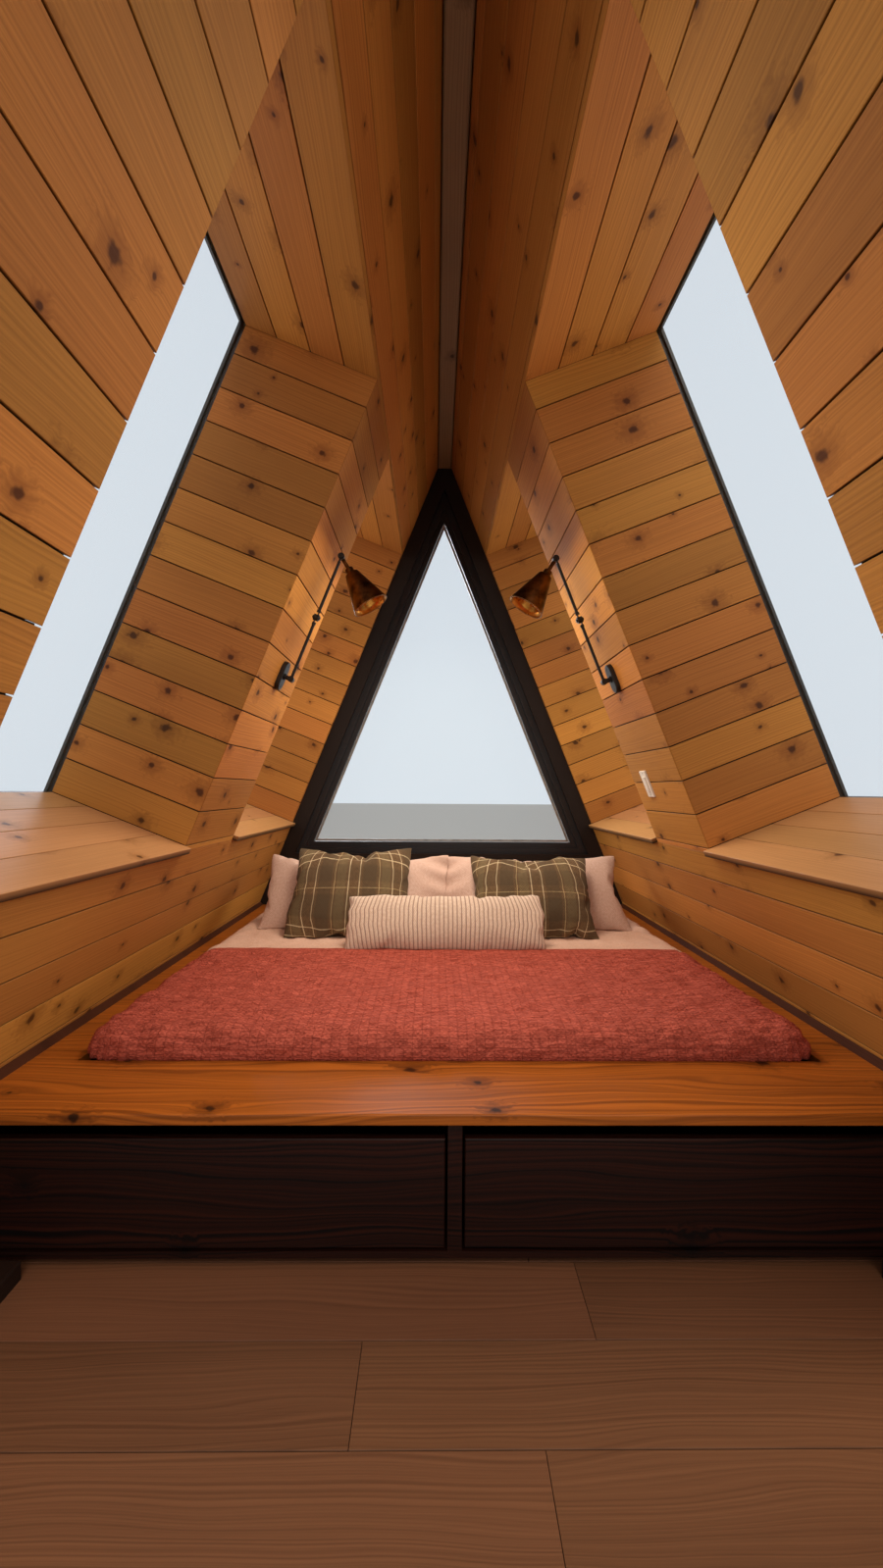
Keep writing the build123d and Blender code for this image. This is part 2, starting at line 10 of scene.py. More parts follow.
import bpy
import numpy as np
from mathutils import Matrix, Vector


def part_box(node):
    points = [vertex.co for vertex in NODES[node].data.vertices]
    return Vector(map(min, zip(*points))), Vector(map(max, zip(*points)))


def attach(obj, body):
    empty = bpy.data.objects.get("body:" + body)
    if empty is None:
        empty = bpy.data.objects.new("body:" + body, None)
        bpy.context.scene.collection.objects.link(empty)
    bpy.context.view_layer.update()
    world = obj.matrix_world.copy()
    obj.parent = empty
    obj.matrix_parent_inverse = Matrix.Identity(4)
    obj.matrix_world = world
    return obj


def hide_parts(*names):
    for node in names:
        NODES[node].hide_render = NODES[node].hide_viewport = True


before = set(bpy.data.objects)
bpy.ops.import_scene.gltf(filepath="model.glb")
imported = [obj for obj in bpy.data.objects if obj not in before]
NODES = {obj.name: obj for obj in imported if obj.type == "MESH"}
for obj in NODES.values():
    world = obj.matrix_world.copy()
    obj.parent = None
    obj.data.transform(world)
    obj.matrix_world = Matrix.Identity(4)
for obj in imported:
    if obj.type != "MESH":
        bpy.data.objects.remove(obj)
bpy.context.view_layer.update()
RANDOM = np.random.default_rng(31)

# Room, as on its plans
ROOM_HALF_WIDTH = 1.265
ROOM_HEIGHT = 3.170
SLOPE = math.atan2(ROOM_HEIGHT, ROOM_HALF_WIDTH)
SIN, COS = math.sin(SLOPE), math.cos(SLOPE)
RISE = ROOM_HEIGHT / ROOM_HALF_WIDTH
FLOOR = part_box("floor_boards")[1].z
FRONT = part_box("left_lining")[0].y
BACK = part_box("left_lining")[1].y
SIDES = {"left": -1, "right": 1}
RIB_WIDTH = 0.532
WINDOW_WIDTH = 1.120
RIB_STARTS = [FRONT + number * (RIB_WIDTH + WINDOW_WIDTH) for number in range(3)]
WINDOW_STARTS = [start + RIB_WIDTH for start in RIB_STARTS[:2]]
SILL_UP = 0.862 / SIN
HEAD_UP = 2.517 / SIN
GLASS_OUT = 0.504
GLASS_THICKNESS = 0.024
FRAME_OUTER = 0.064
FRAME_LIP = 0.010
CAP_THICKNESS = 0.006
BEAM_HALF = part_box("ridge_beam")[1].x
PORTAL_OUT = 0.315
EAVE_DROP = 0.230
ROOF_OUT = 0.285
SEAM_HEIGHT = 0.030

# Boards of the lining, sills and floor
LINING_COVER = 0.1288
LINING_THICKNESS = 0.020
LINING_GAP = 0.0038
NARROWEST_ROW = 0.006
GROOVE_DEPTH = 0.009
ARRIS = 0.0012
CORNER_ROUND = 0.005
SILL_THICKNESS = 0.020
SILL_NOSING = 0.022
LINING_CLEARANCE = 0.004
PLANK_COVER = 0.202
PLANK_SEAM = -1.052
PLANK_GAP = 0.0014
PLANK_THICKNESS = 0.020
PLANK_CLEARANCE = 0.001
PLANK_JOINTS = (0.27, -0.183)
SHADOW = 0.0006
BOX_WALL = 0.045
PORTAL_SETBACK = 0.002

# Reading lights: places up the wall, then distances along each shade's axis, with radii
LAMP_FOOT_UP = 1.630
LAMP_TOP_UP = 2.155
LAMP_STANDOFF = 0.045
PLATE_FACE = 0.018
SHADE_LEAN = math.radians(31.3)
SHADE_OFFSET = 0.0082
SHADE_CEILING = 0.077
SHADE_RIM = 0.225
SHADE_RADII = (0.026, 0.072)
HOLDER = [(0.0776, 0.0130), (0.0776, 0.0165), (0.0930, 0.0165), (0.0930, 0.0130)]
BULB = [(0.0785, 0.0110), (0.0960, 0.0120), (0.1010, 0.0150), (0.1090, 0.0195),
        (0.1190, 0.0235), (0.1290, 0.0245), (0.1390, 0.0228), (0.1470, 0.0180),
        (0.1520, 0.0110), (0.1538, 0.0040)]
# The liner's gaps to the shade, its wall as a step along and inwards, and its hole's radius
LINER_SEAT = 0.0004
LINER_CLEARANCE = 0.0006
LINER_WALL = (0.0006, -0.0012)
LINER_HOLE = 0.013
# The rolled rim: its wire's centre and radius
RIM_CENTRE, RIM_WIRE = (0.2232, 0.0722), 0.0017
# The light switch: up the wall, along it, and how far its plate stands out
SWITCH_UP, SWITCH_Y, SWITCH_FACE = 1.180, 0.098, 0.006

# Screws and rivets: radius and height of a head, and how far a pair stands from its middle
PORTAL_SCREW = (0.0055, 0.0016)
PLATE_SCREW = (0.0042, 0.0014)
SWITCH_SCREW = (0.0032, 0.0008)
FRAME_SCREW = (0.0050, 0.0020)
CAP_RIVET = (0.0045, 0.0016)
PLATE_PAIR = np.array([-0.042, 0.042])
SWITCH_PAIR = np.array([-0.0475, 0.0475])
PORTAL_SCREWS_UP = (-0.12, 3.25)
RIVET_DROP = 0.150
RIVET_SPACING = 0.20

# Spacer bar of the far window: the corners of its section, in from the edge and behind the face
SPACER = ((0.004, 0.006), (0.016, 0.006), (0.016, 0.018), (0.004, 0.018))

# Cloth, and how far the pillows lean back
TACKING_SPACING = 0.024
RIB_SPACING = 0.0170
PILLOW_LEAN = math.radians(40)


# Materials


def linear(hex_colour):
    """Linear red, green, blue and alpha from an sRGB hex value."""
    parts = np.array([int(hex_colour[at:at + 2], 16) / 255 for at in (1, 3, 5)])
    parts = np.where(parts <= 0.04045, parts / 12.92, ((parts + 0.055) / 1.055) ** 2.4)
    return (*parts.tolist(), 1.0)


def plug(tree, socket, value):
    """Set a socket to a number, vector or hex colour, or link it to a socket or a node's result."""
    if isinstance(value, bpy.types.Node):
        value = next(result for result in value.outputs if result.enabled)
    if isinstance(value, bpy.types.NodeSocket):
        tree.links.new(value, socket)
    else:
        socket.default_value = linear(value) if isinstance(value, str) else value


def add(tree, kind, inputs=None, **settings):
    """Add a node with its settings, its fixed inputs and its links."""
    node = tree.nodes.new("ShaderNode" + kind)
    for name, value in settings.items():
        setattr(node, name, value)
    for name, value in (inputs or {}).items():
        plug(tree, node.inputs[name], value)
    return node


def feed(tree, shader, **sockets):
    """Give a shader's sockets their values or links, an underscore standing for a space."""
    for name, value in sockets.items():
        plug(tree, shader.inputs[name.replace("_", " ")], value)


def material(name, colour, roughness, metallic=0.0, **sockets):
    """Principled material, with its tree and its shader for the patterns that go on it."""
    made = bpy.data.materials.new(name)
    made.use_nodes = True
    tree = made.node_tree
    shader = tree.nodes["Principled BSDF"]
    feed(tree, shader, Base_Color=colour, Roughness=roughness, Metallic=metallic, **sockets)
    return made, tree, shader


def line_distance(tree, part, spacing, shift):
    """Distance to the nearest of evenly spaced lines, as a share of their spacing.

    The lines lie where the place over the spacing, plus the shift, is a whole number.
    """
    run = add(tree, "Math", {0: part, 1: 1 / spacing, 2: shift}, operation="MULTIPLY_ADD")
    return add(tree, "Math", {0: run, 1: 0.5}, operation="PINGPONG")


def timber(name, light, dark, knot, along, ring=0.0045, wander=0.016, knots=0.0,
           rough=0.42, tone=0.10, streak=0.35):
    """Sawn timber: year rings drawn out along the grain, fine fibres, and knots they bend round.

    Along is UV for boards with their own length and width in metres, or else the axis of the
    grain. Ring is the usual distance between two year rings on the face, wander how far they
    stray across, knots the share of cells 0.32 by 0.13 m that hold one, tone how far boards
    differ, and streak how strong the rings are.
    """
    made, tree, shader = material(name, light, rough, Specular_IOR_Level=0.2)
    place = add(tree, "TexCoord").outputs["UV" if along == "UV" else "Object"]
    parts = add(tree, "SeparateXYZ", {0: place}).outputs
    if along == "UV":
        board = add(tree, "Attribute", attribute_name="board").outputs["Fac"]
        length, width = parts[0], parts[1]
    else:
        board = 0.31
        axis = "XYZ".index(along)
        length = parts[axis]
        width = add(tree, "Math", {0: parts[(axis + 1) % 3], 1: parts[(axis + 2) % 3]})
    shifted = add(tree, "Math", {0: board, 1: 61.7, 2: length}, operation="MULTIPLY_ADD")
    moved = add(tree, "Math", {0: board, 1: 23.9, 2: width}, operation="MULTIPLY_ADD")
    grain = add(tree, "CombineXYZ", {0: shifted, 1: moved})

    # Knots: one to a cell at most, round on the board, ragged, 9 to 33 mm across with a halo
    cells = add(tree, "VectorMath", {0: grain, 1: (3.1, 7.8, 1.0)}, operation="MULTIPLY")
    spots = add(tree, "TexVoronoi", {"Vector": cells, "Scale": 1.0}, voronoi_dimensions="2D")
    offset = add(tree, "VectorMath", {0: cells, 1: spots.outputs["Position"]},
                 operation="SUBTRACT")
    flat = add(tree, "VectorMath", {0: offset, 1: (0.26, 0.128, 0.0)}, operation="MULTIPLY")
    away = add(tree, "VectorMath", {0: flat}, operation="LENGTH").outputs["Value"]
    ragged = add(tree, "TexNoise", {"Vector": grain, "Scale": 55.0, "Detail": 1.0})
    frayed = add(tree, "MapRange", {"Value": ragged, "From Min": 0.3, "From Max": 0.7,
                                    "To Min": 0.7, "To Max": 1.3})
    chance = add(tree, "SeparateColor", {0: spots.outputs["Color"]}).outputs
    present = add(tree, "Math", {0: chance[1], 1: knots}, operation="LESS_THAN")
    radius = add(tree, "Math", {0: chance[0], 1: 0.012, 2: 0.0045}, operation="MULTIPLY_ADD")
    ragged_away = add(tree, "Math", {0: away, 1: frayed}, operation="MULTIPLY")
    share = add(tree, "Math", {0: ragged_away, 1: radius}, operation="DIVIDE")
    core, halo = (
        add(tree, "MapRange", {"Value": share, "From Min": inner, "From Max": outer,
                               "To Min": present, "To Max": 0.0},
            interpolation_type="SMOOTHSTEP")
        for inner, outer in ((0.45, 1.15), (0.9, 4.2))
    )

    # Year rings: one noise across the board, pushed aside by a slow stray and by each knot
    stretched = add(tree, "VectorMath", {0: grain, 1: (1.1, 5.5, 1.0)}, operation="MULTIPLY")
    stray = add(tree, "TexNoise", {"Vector": stretched, "Scale": 1.0, "Detail": 2.0})
    phase = add(tree, "Math", {0: stray, 1: wander * 4, 2: moved}, operation="MULTIPLY_ADD")
    bent = add(tree, "Math", {0: halo, 1: 0.011, 2: phase}, operation="MULTIPLY_ADD")
    counted = add(tree, "Math", {0: bent, 1: ring}, operation="DIVIDE")
    rings = add(tree, "TexNoise", {"W": counted, "Scale": 1.0, "Detail": 2.0},
                noise_dimensions="1D")
    rings = add(tree, "MapRange", {"Value": rings, "From Min": 0.34, "From Max": 0.68})
    fibres = add(tree, "VectorMath", {0: grain, 1: (9.0, 420.0, 1.0)}, operation="MULTIPLY")
    fibre = add(tree, "TexNoise", {"Vector": fibres, "Scale": 1.0, "Detail": 2.0})
    patch = add(tree, "TexNoise", {"Vector": stretched, "Scale": 0.7, "Detail": 3.0})

    depth = add(tree, "Math", {0: rings, 1: streak, 2: -0.50}, operation="MULTIPLY_ADD")
    depth = add(tree, "Math", {0: fibre, 1: 0.25, 2: depth}, operation="MULTIPLY_ADD")
    depth = add(tree, "Math", {0: patch, 1: 0.9, 2: depth}, operation="MULTIPLY_ADD",
                use_clamp=True)
    colour = add(tree, "Mix", {0: depth, 6: light, 7: dark}, data_type="RGBA")
    stain = add(tree, "Math", {0: halo, 1: 0.5}, operation="MULTIPLY")
    colour = add(tree, "Mix", {0: stain, 6: colour, 7: dark}, data_type="RGBA")
    heart = add(tree, "Math", {0: core, 1: 0.88}, operation="MULTIPLY")
    colour = add(tree, "Mix", {0: heart, 6: colour, 7: knot}, data_type="RGBA")
    if along == "UV":
        lift = add(tree, "MapRange", {"Value": board, "To Min": 1 - tone, "To Max": 1 + tone})
        turn = add(tree, "Math", {0: board, 1: 7.3}, operation="MULTIPLY")
        turn = add(tree, "Math", {0: turn}, operation="FRACT")
        hue = add(tree, "MapRange", {"Value": turn, "To Min": 0.492, "To Max": 0.506})
        colour = add(tree, "HueSaturation", {"Hue": hue, "Value": lift, "Color": colour})
        # Painted shade: faces down in the grooves and on the tongues between boards are darkened to
        # near black
        groove = add(tree, "Attribute", attribute_name="groove").outputs["Fac"]
        colour = add(tree, "Mix", {0: groove, 6: colour, 7: "#150a05"}, data_type="RGBA")
    gloss = add(tree, "Math", {0: fibre, 1: 0.16, 2: rough - 0.08}, operation="MULTIPLY_ADD")
    height = add(tree, "Math", {0: rings, 1: 0.4, 2: fibre}, operation="MULTIPLY_ADD")
    relief = add(tree, "Bump", {"Height": height, "Strength": 0.22, "Distance": 0.0006})
    feed(tree, shader, Base_Color=colour, Roughness=gloss, Normal=relief)
    return made


def painted_steel(name, colour, worn, roughness, grain=0.35):
    """Baked powder coat or paint on metal: a fine orange peel, and slightly uneven gloss."""
    made, tree, shader = material(name, colour, roughness)
    place = add(tree, "TexCoord").outputs["Object"]
    peel = add(tree, "TexNoise", {"Vector": place, "Scale": 420.0, "Detail": 1.0})
    cloud = add(tree, "TexNoise", {"Vector": place, "Scale": 3.1, "Detail": 3.0})
    gloss = add(tree, "MapRange", {"Value": cloud, "From Min": 0.3, "From Max": 0.7,
                                   "To Min": roughness - 0.05, "To Max": roughness + 0.09})
    rubbed = add(tree, "MapRange", {"Value": cloud, "From Min": 0.35, "From Max": 0.75,
                                    "To Max": 0.22})
    colour = add(tree, "Mix", {0: rubbed, 6: colour, 7: worn}, data_type="RGBA")
    relief = add(tree, "Bump", {"Height": peel, "Strength": grain * 0.3, "Distance": 0.0003})
    feed(tree, shader, Base_Color=colour, Roughness=gloss, Normal=relief)
    return made


def bare_metal(name, colour, shade, roughness):
    """Bare or waxed metal: cloudy where it has darkened, with fine lines from its turning."""
    made, tree, shader = material(name, colour, roughness, 1.0)
    place = add(tree, "TexCoord").outputs["Object"]
    cloud = add(tree, "TexNoise", {"Vector": place, "Scale": 26.0, "Detail": 4.0})
    share = add(tree, "MapRange", {"Value": cloud, "From Min": 0.32, "From Max": 0.66})
    tone = add(tree, "Mix", {0: share, 6: shade, 7: colour}, data_type="RGBA")
    gloss = add(tree, "MapRange", {"Value": cloud, "From Min": 0.3, "From Max": 0.7,
                                   "To Min": roughness + 0.12, "To Max": roughness})
    lines = add(tree, "VectorMath", {0: place, 1: (40.0, 40.0, 900.0)}, operation="MULTIPLY")
    lines = add(tree, "TexNoise", {"Vector": lines, "Scale": 1.0, "Detail": 1.0})
    relief = add(tree, "Bump", {"Height": lines, "Strength": 0.08, "Distance": 0.0002})
    feed(tree, shader, Base_Color=tone, Roughness=gloss, Normal=relief)
    return made


def woven(name, light, dark, thread, relief=0.25, fuzz=0.15):
    """Plain weave on the piece's own length and width, its threads the given metres apart.

    Returns the material, its tree and shader, the two directions of the cloth, the height of
    the weave with its slubs, and its colour, for patterns that go on top. Threads are drawn
    about twice as coarse as real ones, so that they show.
    """
    made, tree, shader = material(name, light, 0.88, Sheen_Weight=fuzz, Sheen_Roughness=0.5,
                                  Sheen_Tint=light, Specular_IOR_Level=0.2)
    place = add(tree, "TexCoord").outputs["UV"]
    parts = add(tree, "SeparateXYZ", {0: place}).outputs
    waves = []
    for part in parts[:2]:
        phase = add(tree, "Math", {0: part, 1: math.pi / thread}, operation="MULTIPLY")
        waves.append(add(tree, "Math", {0: phase}, operation="SINE"))
    cross = add(tree, "Math", {0: waves[0], 1: waves[1]}, operation="MULTIPLY")
    slub = add(tree, "TexNoise", {"Vector": place, "Scale": 120.0, "Detail": 4.0})
    mottle = add(tree, "Math", {0: cross, 1: 0.20, 2: slub}, operation="MULTIPLY_ADD")
    share = add(tree, "MapRange", {"Value": mottle, "From Min": 0.15, "From Max": 0.85})
    colour = add(tree, "Mix", {0: share, 6: dark, 7: light}, data_type="RGBA")
    bumps = add(tree, "Bump", {"Height": mottle, "Strength": relief, "Distance": 0.0012})
    feed(tree, shader, Base_Color=colour, Normal=bumps)
    return made, tree, shader, parts, mottle, colour


def crinkled_cotton():
    """Double gauze of coral cotton, stitched and washed until it crinkles."""
    made, tree, shader, parts, mottle, colour = woven("Coral double gauze", "#c5604d",
                                                      "#9f4838", 0.0065, 0.3)
    # Puffs 13 mm apart along the bed and 48 mm long across it, with a crease between them.
    # Painted shade darkens the creases, and a painted highlight lightens the puffs
    place = add(tree, "CombineXYZ", {0: parts[0], 1: parts[1]})
    rough = add(tree, "VectorMath", {0: place, 1: (21.0, 78.0, 1.0)}, operation="MULTIPLY")
    puff = add(tree, "TexNoise", {"Vector": rough, "Scale": 1.0, "Detail": 3.0,
                                  "Roughness": 0.6, "Distortion": 0.3})
    level = add(tree, "Math", {0: puff, 1: 0.5}, operation="SUBTRACT")
    level = add(tree, "Math", {0: level}, operation="ABSOLUTE")
    crease = add(tree, "MapRange", {"Value": level, "From Min": 0.0, "From Max": 0.055,
                                    "To Min": 1.0, "To Max": 0.0},
                 interpolation_type="SMOOTHSTEP")
    # Painted shade: the sunk creases are darkened towards deep red
    shade = add(tree, "Math", {0: crease, 1: 0.40}, operation="MULTIPLY")
    colour = add(tree, "Mix", {0: shade, 6: colour, 7: "#74291f"}, data_type="RGBA")
    # Painted highlight: the raised puffs are lightened towards pale coral
    painted_crest_highlight = add(tree, "MapRange", {"Value": level, "From Min": 0.07, "From Max": 0.16,
                                   "To Max": 0.16})
    colour = add(tree, "Mix", {0: painted_crest_highlight, 6: colour, 7: "#cf7560"}, data_type="RGBA")
    height = add(tree, "Math", {0: crease, 1: -0.8, 2: mottle}, operation="MULTIPLY_ADD")
    # Tacking in squares of 24 mm holds both layers together, each line pulled about a little.
    # Each line sinks, and its darkening is painted shade in the dent
    pull = add(tree, "Math", {0: puff, 1: 0.35, 2: 0.5}, operation="MULTIPLY_ADD")
    for part in parts[:2]:
        away = line_distance(tree, part, TACKING_SPACING, pull)
        line = add(tree, "MapRange", {"Value": away, "From Max": 0.10, "To Min": 0.34,
                                      "To Max": 0.0})
        # Painted shade along each sunk tacking line
        colour = add(tree, "Mix", {0: line, 6: colour, 7: "#74291f"}, data_type="RGBA")
        height = add(tree, "Math", {0: line, 1: -1.6, 2: height}, operation="MULTIPLY_ADD")
    relief = add(tree, "Bump", {"Height": height, "Strength": 0.8, "Distance": 0.003})
    feed(tree, shader, Base_Color=colour, Normal=relief)
    return made


def striped_cotton():
    """Cream cotton with raised ribs and a thin brown line between them."""
    made, tree, shader, parts, mottle, colour = woven("Ribbed stripe cotton", "#e2cbb6",
                                                      "#c4a890", 0.0040, 0.2)
    line = line_distance(tree, parts[0], RIB_SPACING, 0.5)
    dark = add(tree, "MapRange", {"Value": line, "From Min": 0.10, "From Max": 0.17,
                                  "To Min": 0.72, "To Max": 0.0},
               interpolation_type="SMOOTHSTEP")
    colour = add(tree, "Mix", {0: dark, 6: colour, 7: "#84665a"}, data_type="RGBA")
    rib = add(tree, "MapRange", {"Value": line, "From Min": 0.05, "From Max": 0.4})
    height = add(tree, "Math", {0: mottle, 1: 0.25, 2: rib}, operation="MULTIPLY_ADD")
    relief = add(tree, "Bump", {"Height": height, "Strength": 0.5, "Distance": 0.0016})
    feed(tree, shader, Base_Color=colour, Normal=relief)
    return made


def plaid_wool():
    """Brown olive wool with darker bars and thin cream lines woven both ways.

    Each set holds a direction of the cloth, the repeat, where the first one starts, and its
    bars: shade, place in the repeat, width and strength.
    """
    made, tree, shader, parts, mottle, colour = woven("Plaid wool", "#745b40", "#4e3b28",
                                                      0.0044, 0.35, 0.2)
    twill = add(tree, "MapRange", {"Value": mottle, "From Min": 0.3, "From Max": 0.75,
                                   "To Min": 0.6, "To Max": 1.0})
    dark, olive, cream, tan = "#3f382b", "#7d7150", "#dcc7a0", "#bda678"
    sets = (
        (parts[0], 0.168, 0.827, ((dark, 0.078, 0.046, 0.5), (olive, 0.140, 0.030, 0.35),
                                  (cream, 0.0, 0.0034, 0.75), (cream, 0.040, 0.0030, 0.7),
                                  (tan, 0.115, 0.0026, 0.65))),
        (parts[1], 0.290, 0.815, ((dark, 0.120, 0.070, 0.45), (dark, 0.230, 0.050, 0.35),
                                  (cream, 0.0, 0.0036, 0.75), (cream, 0.042, 0.0036, 0.7),
                                  (tan, 0.180, 0.0024, 0.45))),
    )
    for part, repeat, first, bars in sets:
        for shade, at, width, strength in bars:
            away = line_distance(tree, part, repeat, -(first + at) / repeat)
            half = width / repeat / 2
            mask = add(tree, "MapRange", {"Value": away, "From Min": half,
                                          "From Max": half * 1.25, "To Min": strength,
                                          "To Max": 0.0})
            mask = add(tree, "Math", {0: mask, 1: twill}, operation="MULTIPLY")
            colour = add(tree, "Mix", {0: mask, 6: colour, 7: shade}, data_type="RGBA")
    feed(tree, shader, Base_Color=colour)
    return made


def window_glass(name, tint):
    """Float glass: clear, with a weak tint and a reflection off its faces."""
    made = material(name, tint, 0.02, Alpha=0.07, Specular_IOR_Level=0.5)[0]
    made.surface_render_method = "BLENDED"
    return made


def moulded_plastic(name, colour, soiled, roughness):
    """Moulded plastic with a faint spark-eroded grain, a little soiled by hands."""
    made, tree, shader = material(name, colour, roughness)
    place = add(tree, "TexCoord").outputs["Object"]
    grain = add(tree, "TexNoise", {"Vector": place, "Scale": 900.0, "Detail": 1.0})
    cloud = add(tree, "TexNoise", {"Vector": place, "Scale": 14.0, "Detail": 3.0})
    soil = add(tree, "MapRange", {"Value": cloud, "From Min": 0.4, "From Max": 0.8,
                                  "To Max": 0.2})
    colour = add(tree, "Mix", {0: soil, 6: colour, 7: soiled}, data_type="RGBA")
    relief = add(tree, "Bump", {"Height": grain, "Strength": 0.06, "Distance": 0.0002})
    feed(tree, shader, Base_Color=colour, Normal=relief)
    return made


# Knotty cedar under clear oil: golden to red brown, satin, every board its own tone
CEDAR = timber("Oiled cedar boards", "#bd803b", "#7f4c1e", "#40200c", "UV",
               ring=0.0055, wander=0.016, knots=0.80, rough=0.60, tone=0.20, streak=0.36)
# The same cedar in clearer lengths, a little paler
SILL_CEDAR = timber("Oiled cedar sill", "#bf8a58", "#8d5d32", "#4a2a14", "UV",
                    ring=0.0050, wander=0.012, knots=0.40, rough=0.48, tone=0.08, streak=0.30)
# Wide oak planks, brushed and matt lacquered: taupe brown with arched grain
OAK = timber("Brushed oak planks", "#7d5439", "#4a2e1d", "#2c180f", "UV",
             ring=0.0062, wander=0.026, rough=0.58, tone=0.12, streak=0.38)
# Dark stained walnut: nearly black, partly from its stain and partly painted shade from under the
# ledge; the grain shows only in the gloss
WALNUT_WITH_PAINTED_SHADE = timber("Stained walnut with painted shade", "#2c1007", "#070201", "#080302", "X",
                ring=0.0085, wander=0.030, knots=0.25, rough=0.50, tone=0.0, streak=0.95)
# The ledge's board is oiled and rubbed, so its red brown grain stands out
LEDGE = timber("Oiled walnut ledge", "#b0601f", "#4c240c", "#1c0d06", "X",
               ring=0.0120, wander=0.045, knots=0.60, rough=0.38, tone=0.0, streak=0.55)
# Strips between the platform and the wall: the same walnut, darker as painted shade for the shadow
# line there
SHADE_PAINTED_TRIM = timber("Oiled walnut strips", "#47230f", "#240f06", "#1c0d06", "Y", rough=0.80)
# Stained kerb: almost black brown
DARK_KERB = timber("Dark stained kerb", "#2b1a12", "#160c08", "#0d0705", "Y", rough=0.60)
# Grey weathered softwood
BEAM_TIMBER = timber("Weathered beam", "#8b6f50", "#553f2b", "#33241a", "Y",
                     ring=0.0050, wander=0.010, knots=0.2, rough=0.65, streak=0.4)
# Pressure treated pine: dull green brown, rough sawn
SKID_TIMBER = timber("Treated pine", "#8d8157", "#5f5537", "#3c3323", "Y",
                     ring=0.0060, wander=0.02, knots=0.5, rough=0.75, streak=0.4)
# Film faced plywood on the floor's edge: dark brown and smooth
PLYWOOD = timber("Phenolic plywood", "#4b3325", "#2b1d15", "#1d130d", "Y",
                 ring=0.0070, wander=0.04, rough=0.5, streak=0.3)
# Sheathing on the walls' cut edges
CORE = timber("Sheathing plywood", "#b08a5a", "#84613a", "#4c3420", "Y",
              ring=0.0080, wander=0.05, knots=0.2, rough=0.7, streak=0.35)
# Larch stained black: matt, the grain just shows
BLACK_BOARDS = timber("Black stained larch boards", "#2a221d", "#120e0c", "#0a0807", "UV",
                      ring=0.0050, wander=0.014, knots=0.3, rough=0.58, tone=0.18)
BLACK_TIMBER = timber("Black stained larch", "#241b16", "#120d0a", "#0b0807", "Z",
                      ring=0.0050, wander=0.012, rough=0.52)
# Coil coated roofing: charcoal, dull, a little chalky
ROOFING = painted_steel("Charcoal seamed steel", "#23262a", "#3b3c3c", 0.42)
# Powder coated lamp arms, satin black
BLACK_STEEL = painted_steel("Black powder coat", "#14120f", "#2c2926", 0.36, 0.6)
# Anodised black window sections, smoother than powder coat
FRAME_METAL = painted_steel("Black anodised aluminium", "#17181a", "#2c2d2f", 0.34, 0.15)
SCREW_STEEL = painted_steel("Blackened screws", "#35322e", "#57524c", 0.33, 0.2)
# Spun brass left to darken to bronze outside; inside, bright brass as painted light for the light
# that falls into the shade
BRONZE = bare_metal("Darkened brass", "#7c5730", "#2b1a10", 0.34)
PAINTED_LIGHT_BRASS = bare_metal("Bright brass with painted light", "#d99a48", "#a96d2c", 0.24)
# Bare zinc plated steel rivets and screws
ZINC = bare_metal("Zinc plated steel", "#b9b6ae", "#98958c", 0.32)
# Double glazing: almost clear, a little green
PANE = window_glass("Window glass", "#c3d0cc")
QUILT = crinkled_cotton()
# Washed linen: soft and matt, its slubs show, and the cases are a little cooler
SHEET = woven("Washed linen sheet", "#dcb8a2", "#c0977f", 0.0040, 0.25)[0]
PILLOWCASE = woven("Washed linen pillowcase", "#d3b4a3", "#b8937f", 0.0040, 0.25)[0]
# Close, smooth ticking
TICKING = woven("Mattress ticking", "#e5dfd2", "#c9c1b0", 0.0036, 0.2)[0]
STRIPES = striped_cotton()
PLAID = plaid_wool()
# Ivory plastic with a dull shine, and a bulb of white opal glass
SWITCH_PLASTIC = moulded_plastic("Switch plastic", "#e6ddcb", "#c4b393", 0.38)
OPAL = moulded_plastic("Opal glass bulb", "#f3ecdc", "#e2d8c2", 0.2)


# Making pieces


def make(name, points, faces, finish, slot, body="cabin", replaces=(), uv=None, smooth=False,
         **attributes):
    """A piece from points and faces, with its UV in metres and its numbers for each point."""
    mesh = bpy.data.meshes.new(name)
    faces = [face for group in faces for face in np.asarray(group).tolist()]
    mesh.from_pydata(np.asarray(points, float).reshape(-1, 3).tolist(), [], faces)
    loops = np.empty(len(mesh.loops), np.int32)
    mesh.loops.foreach_get("vertex_index", loops)
    if uv is not None:
        layer = mesh.uv_layers.new(name="Metres")
        flat = np.asarray(uv, np.float32).reshape(-1, 2)[loops]
        layer.data.foreach_set("uv", flat.ravel())
    for label, values in attributes.items():
        layer = mesh.attributes.new(label, "FLOAT", "POINT")
        layer.data.foreach_set("value", np.asarray(values, np.float32).ravel())
    mesh.polygons.foreach_set("use_smooth", [smooth] * len(mesh.polygons))
    mesh.materials.append(finish)
    mesh.update()
    piece = bpy.data.objects.new(name, mesh)
    bpy.context.scene.collection.objects.link(piece)
    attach(piece, body)
    if replaces:
        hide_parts(*replaces)
    return piece


def dress(finish, *names):
    """Give CAD nodes their finish."""
    for name in names:
        slots = NODES[name].data.materials
        slots.clear()
        slots.append(finish)


def wall_point(side, up, out, y=0.0):
    """Point on a sloping wall: up the lining, out from it, and along the bay."""
    up, out, y = np.broadcast_arrays(up, out, y)
    across = side * (ROOM_HALF_WIDTH - up * COS + out * SIN)
    return np.stack([across, y, FLOOR + up * SIN + out * COS], -1)


def wall_axes(side):
    """Directions up a sloping wall and out from it."""
    return np.array([-side * COS, 0, SIN]), np.array([side * SIN, 0, COS])


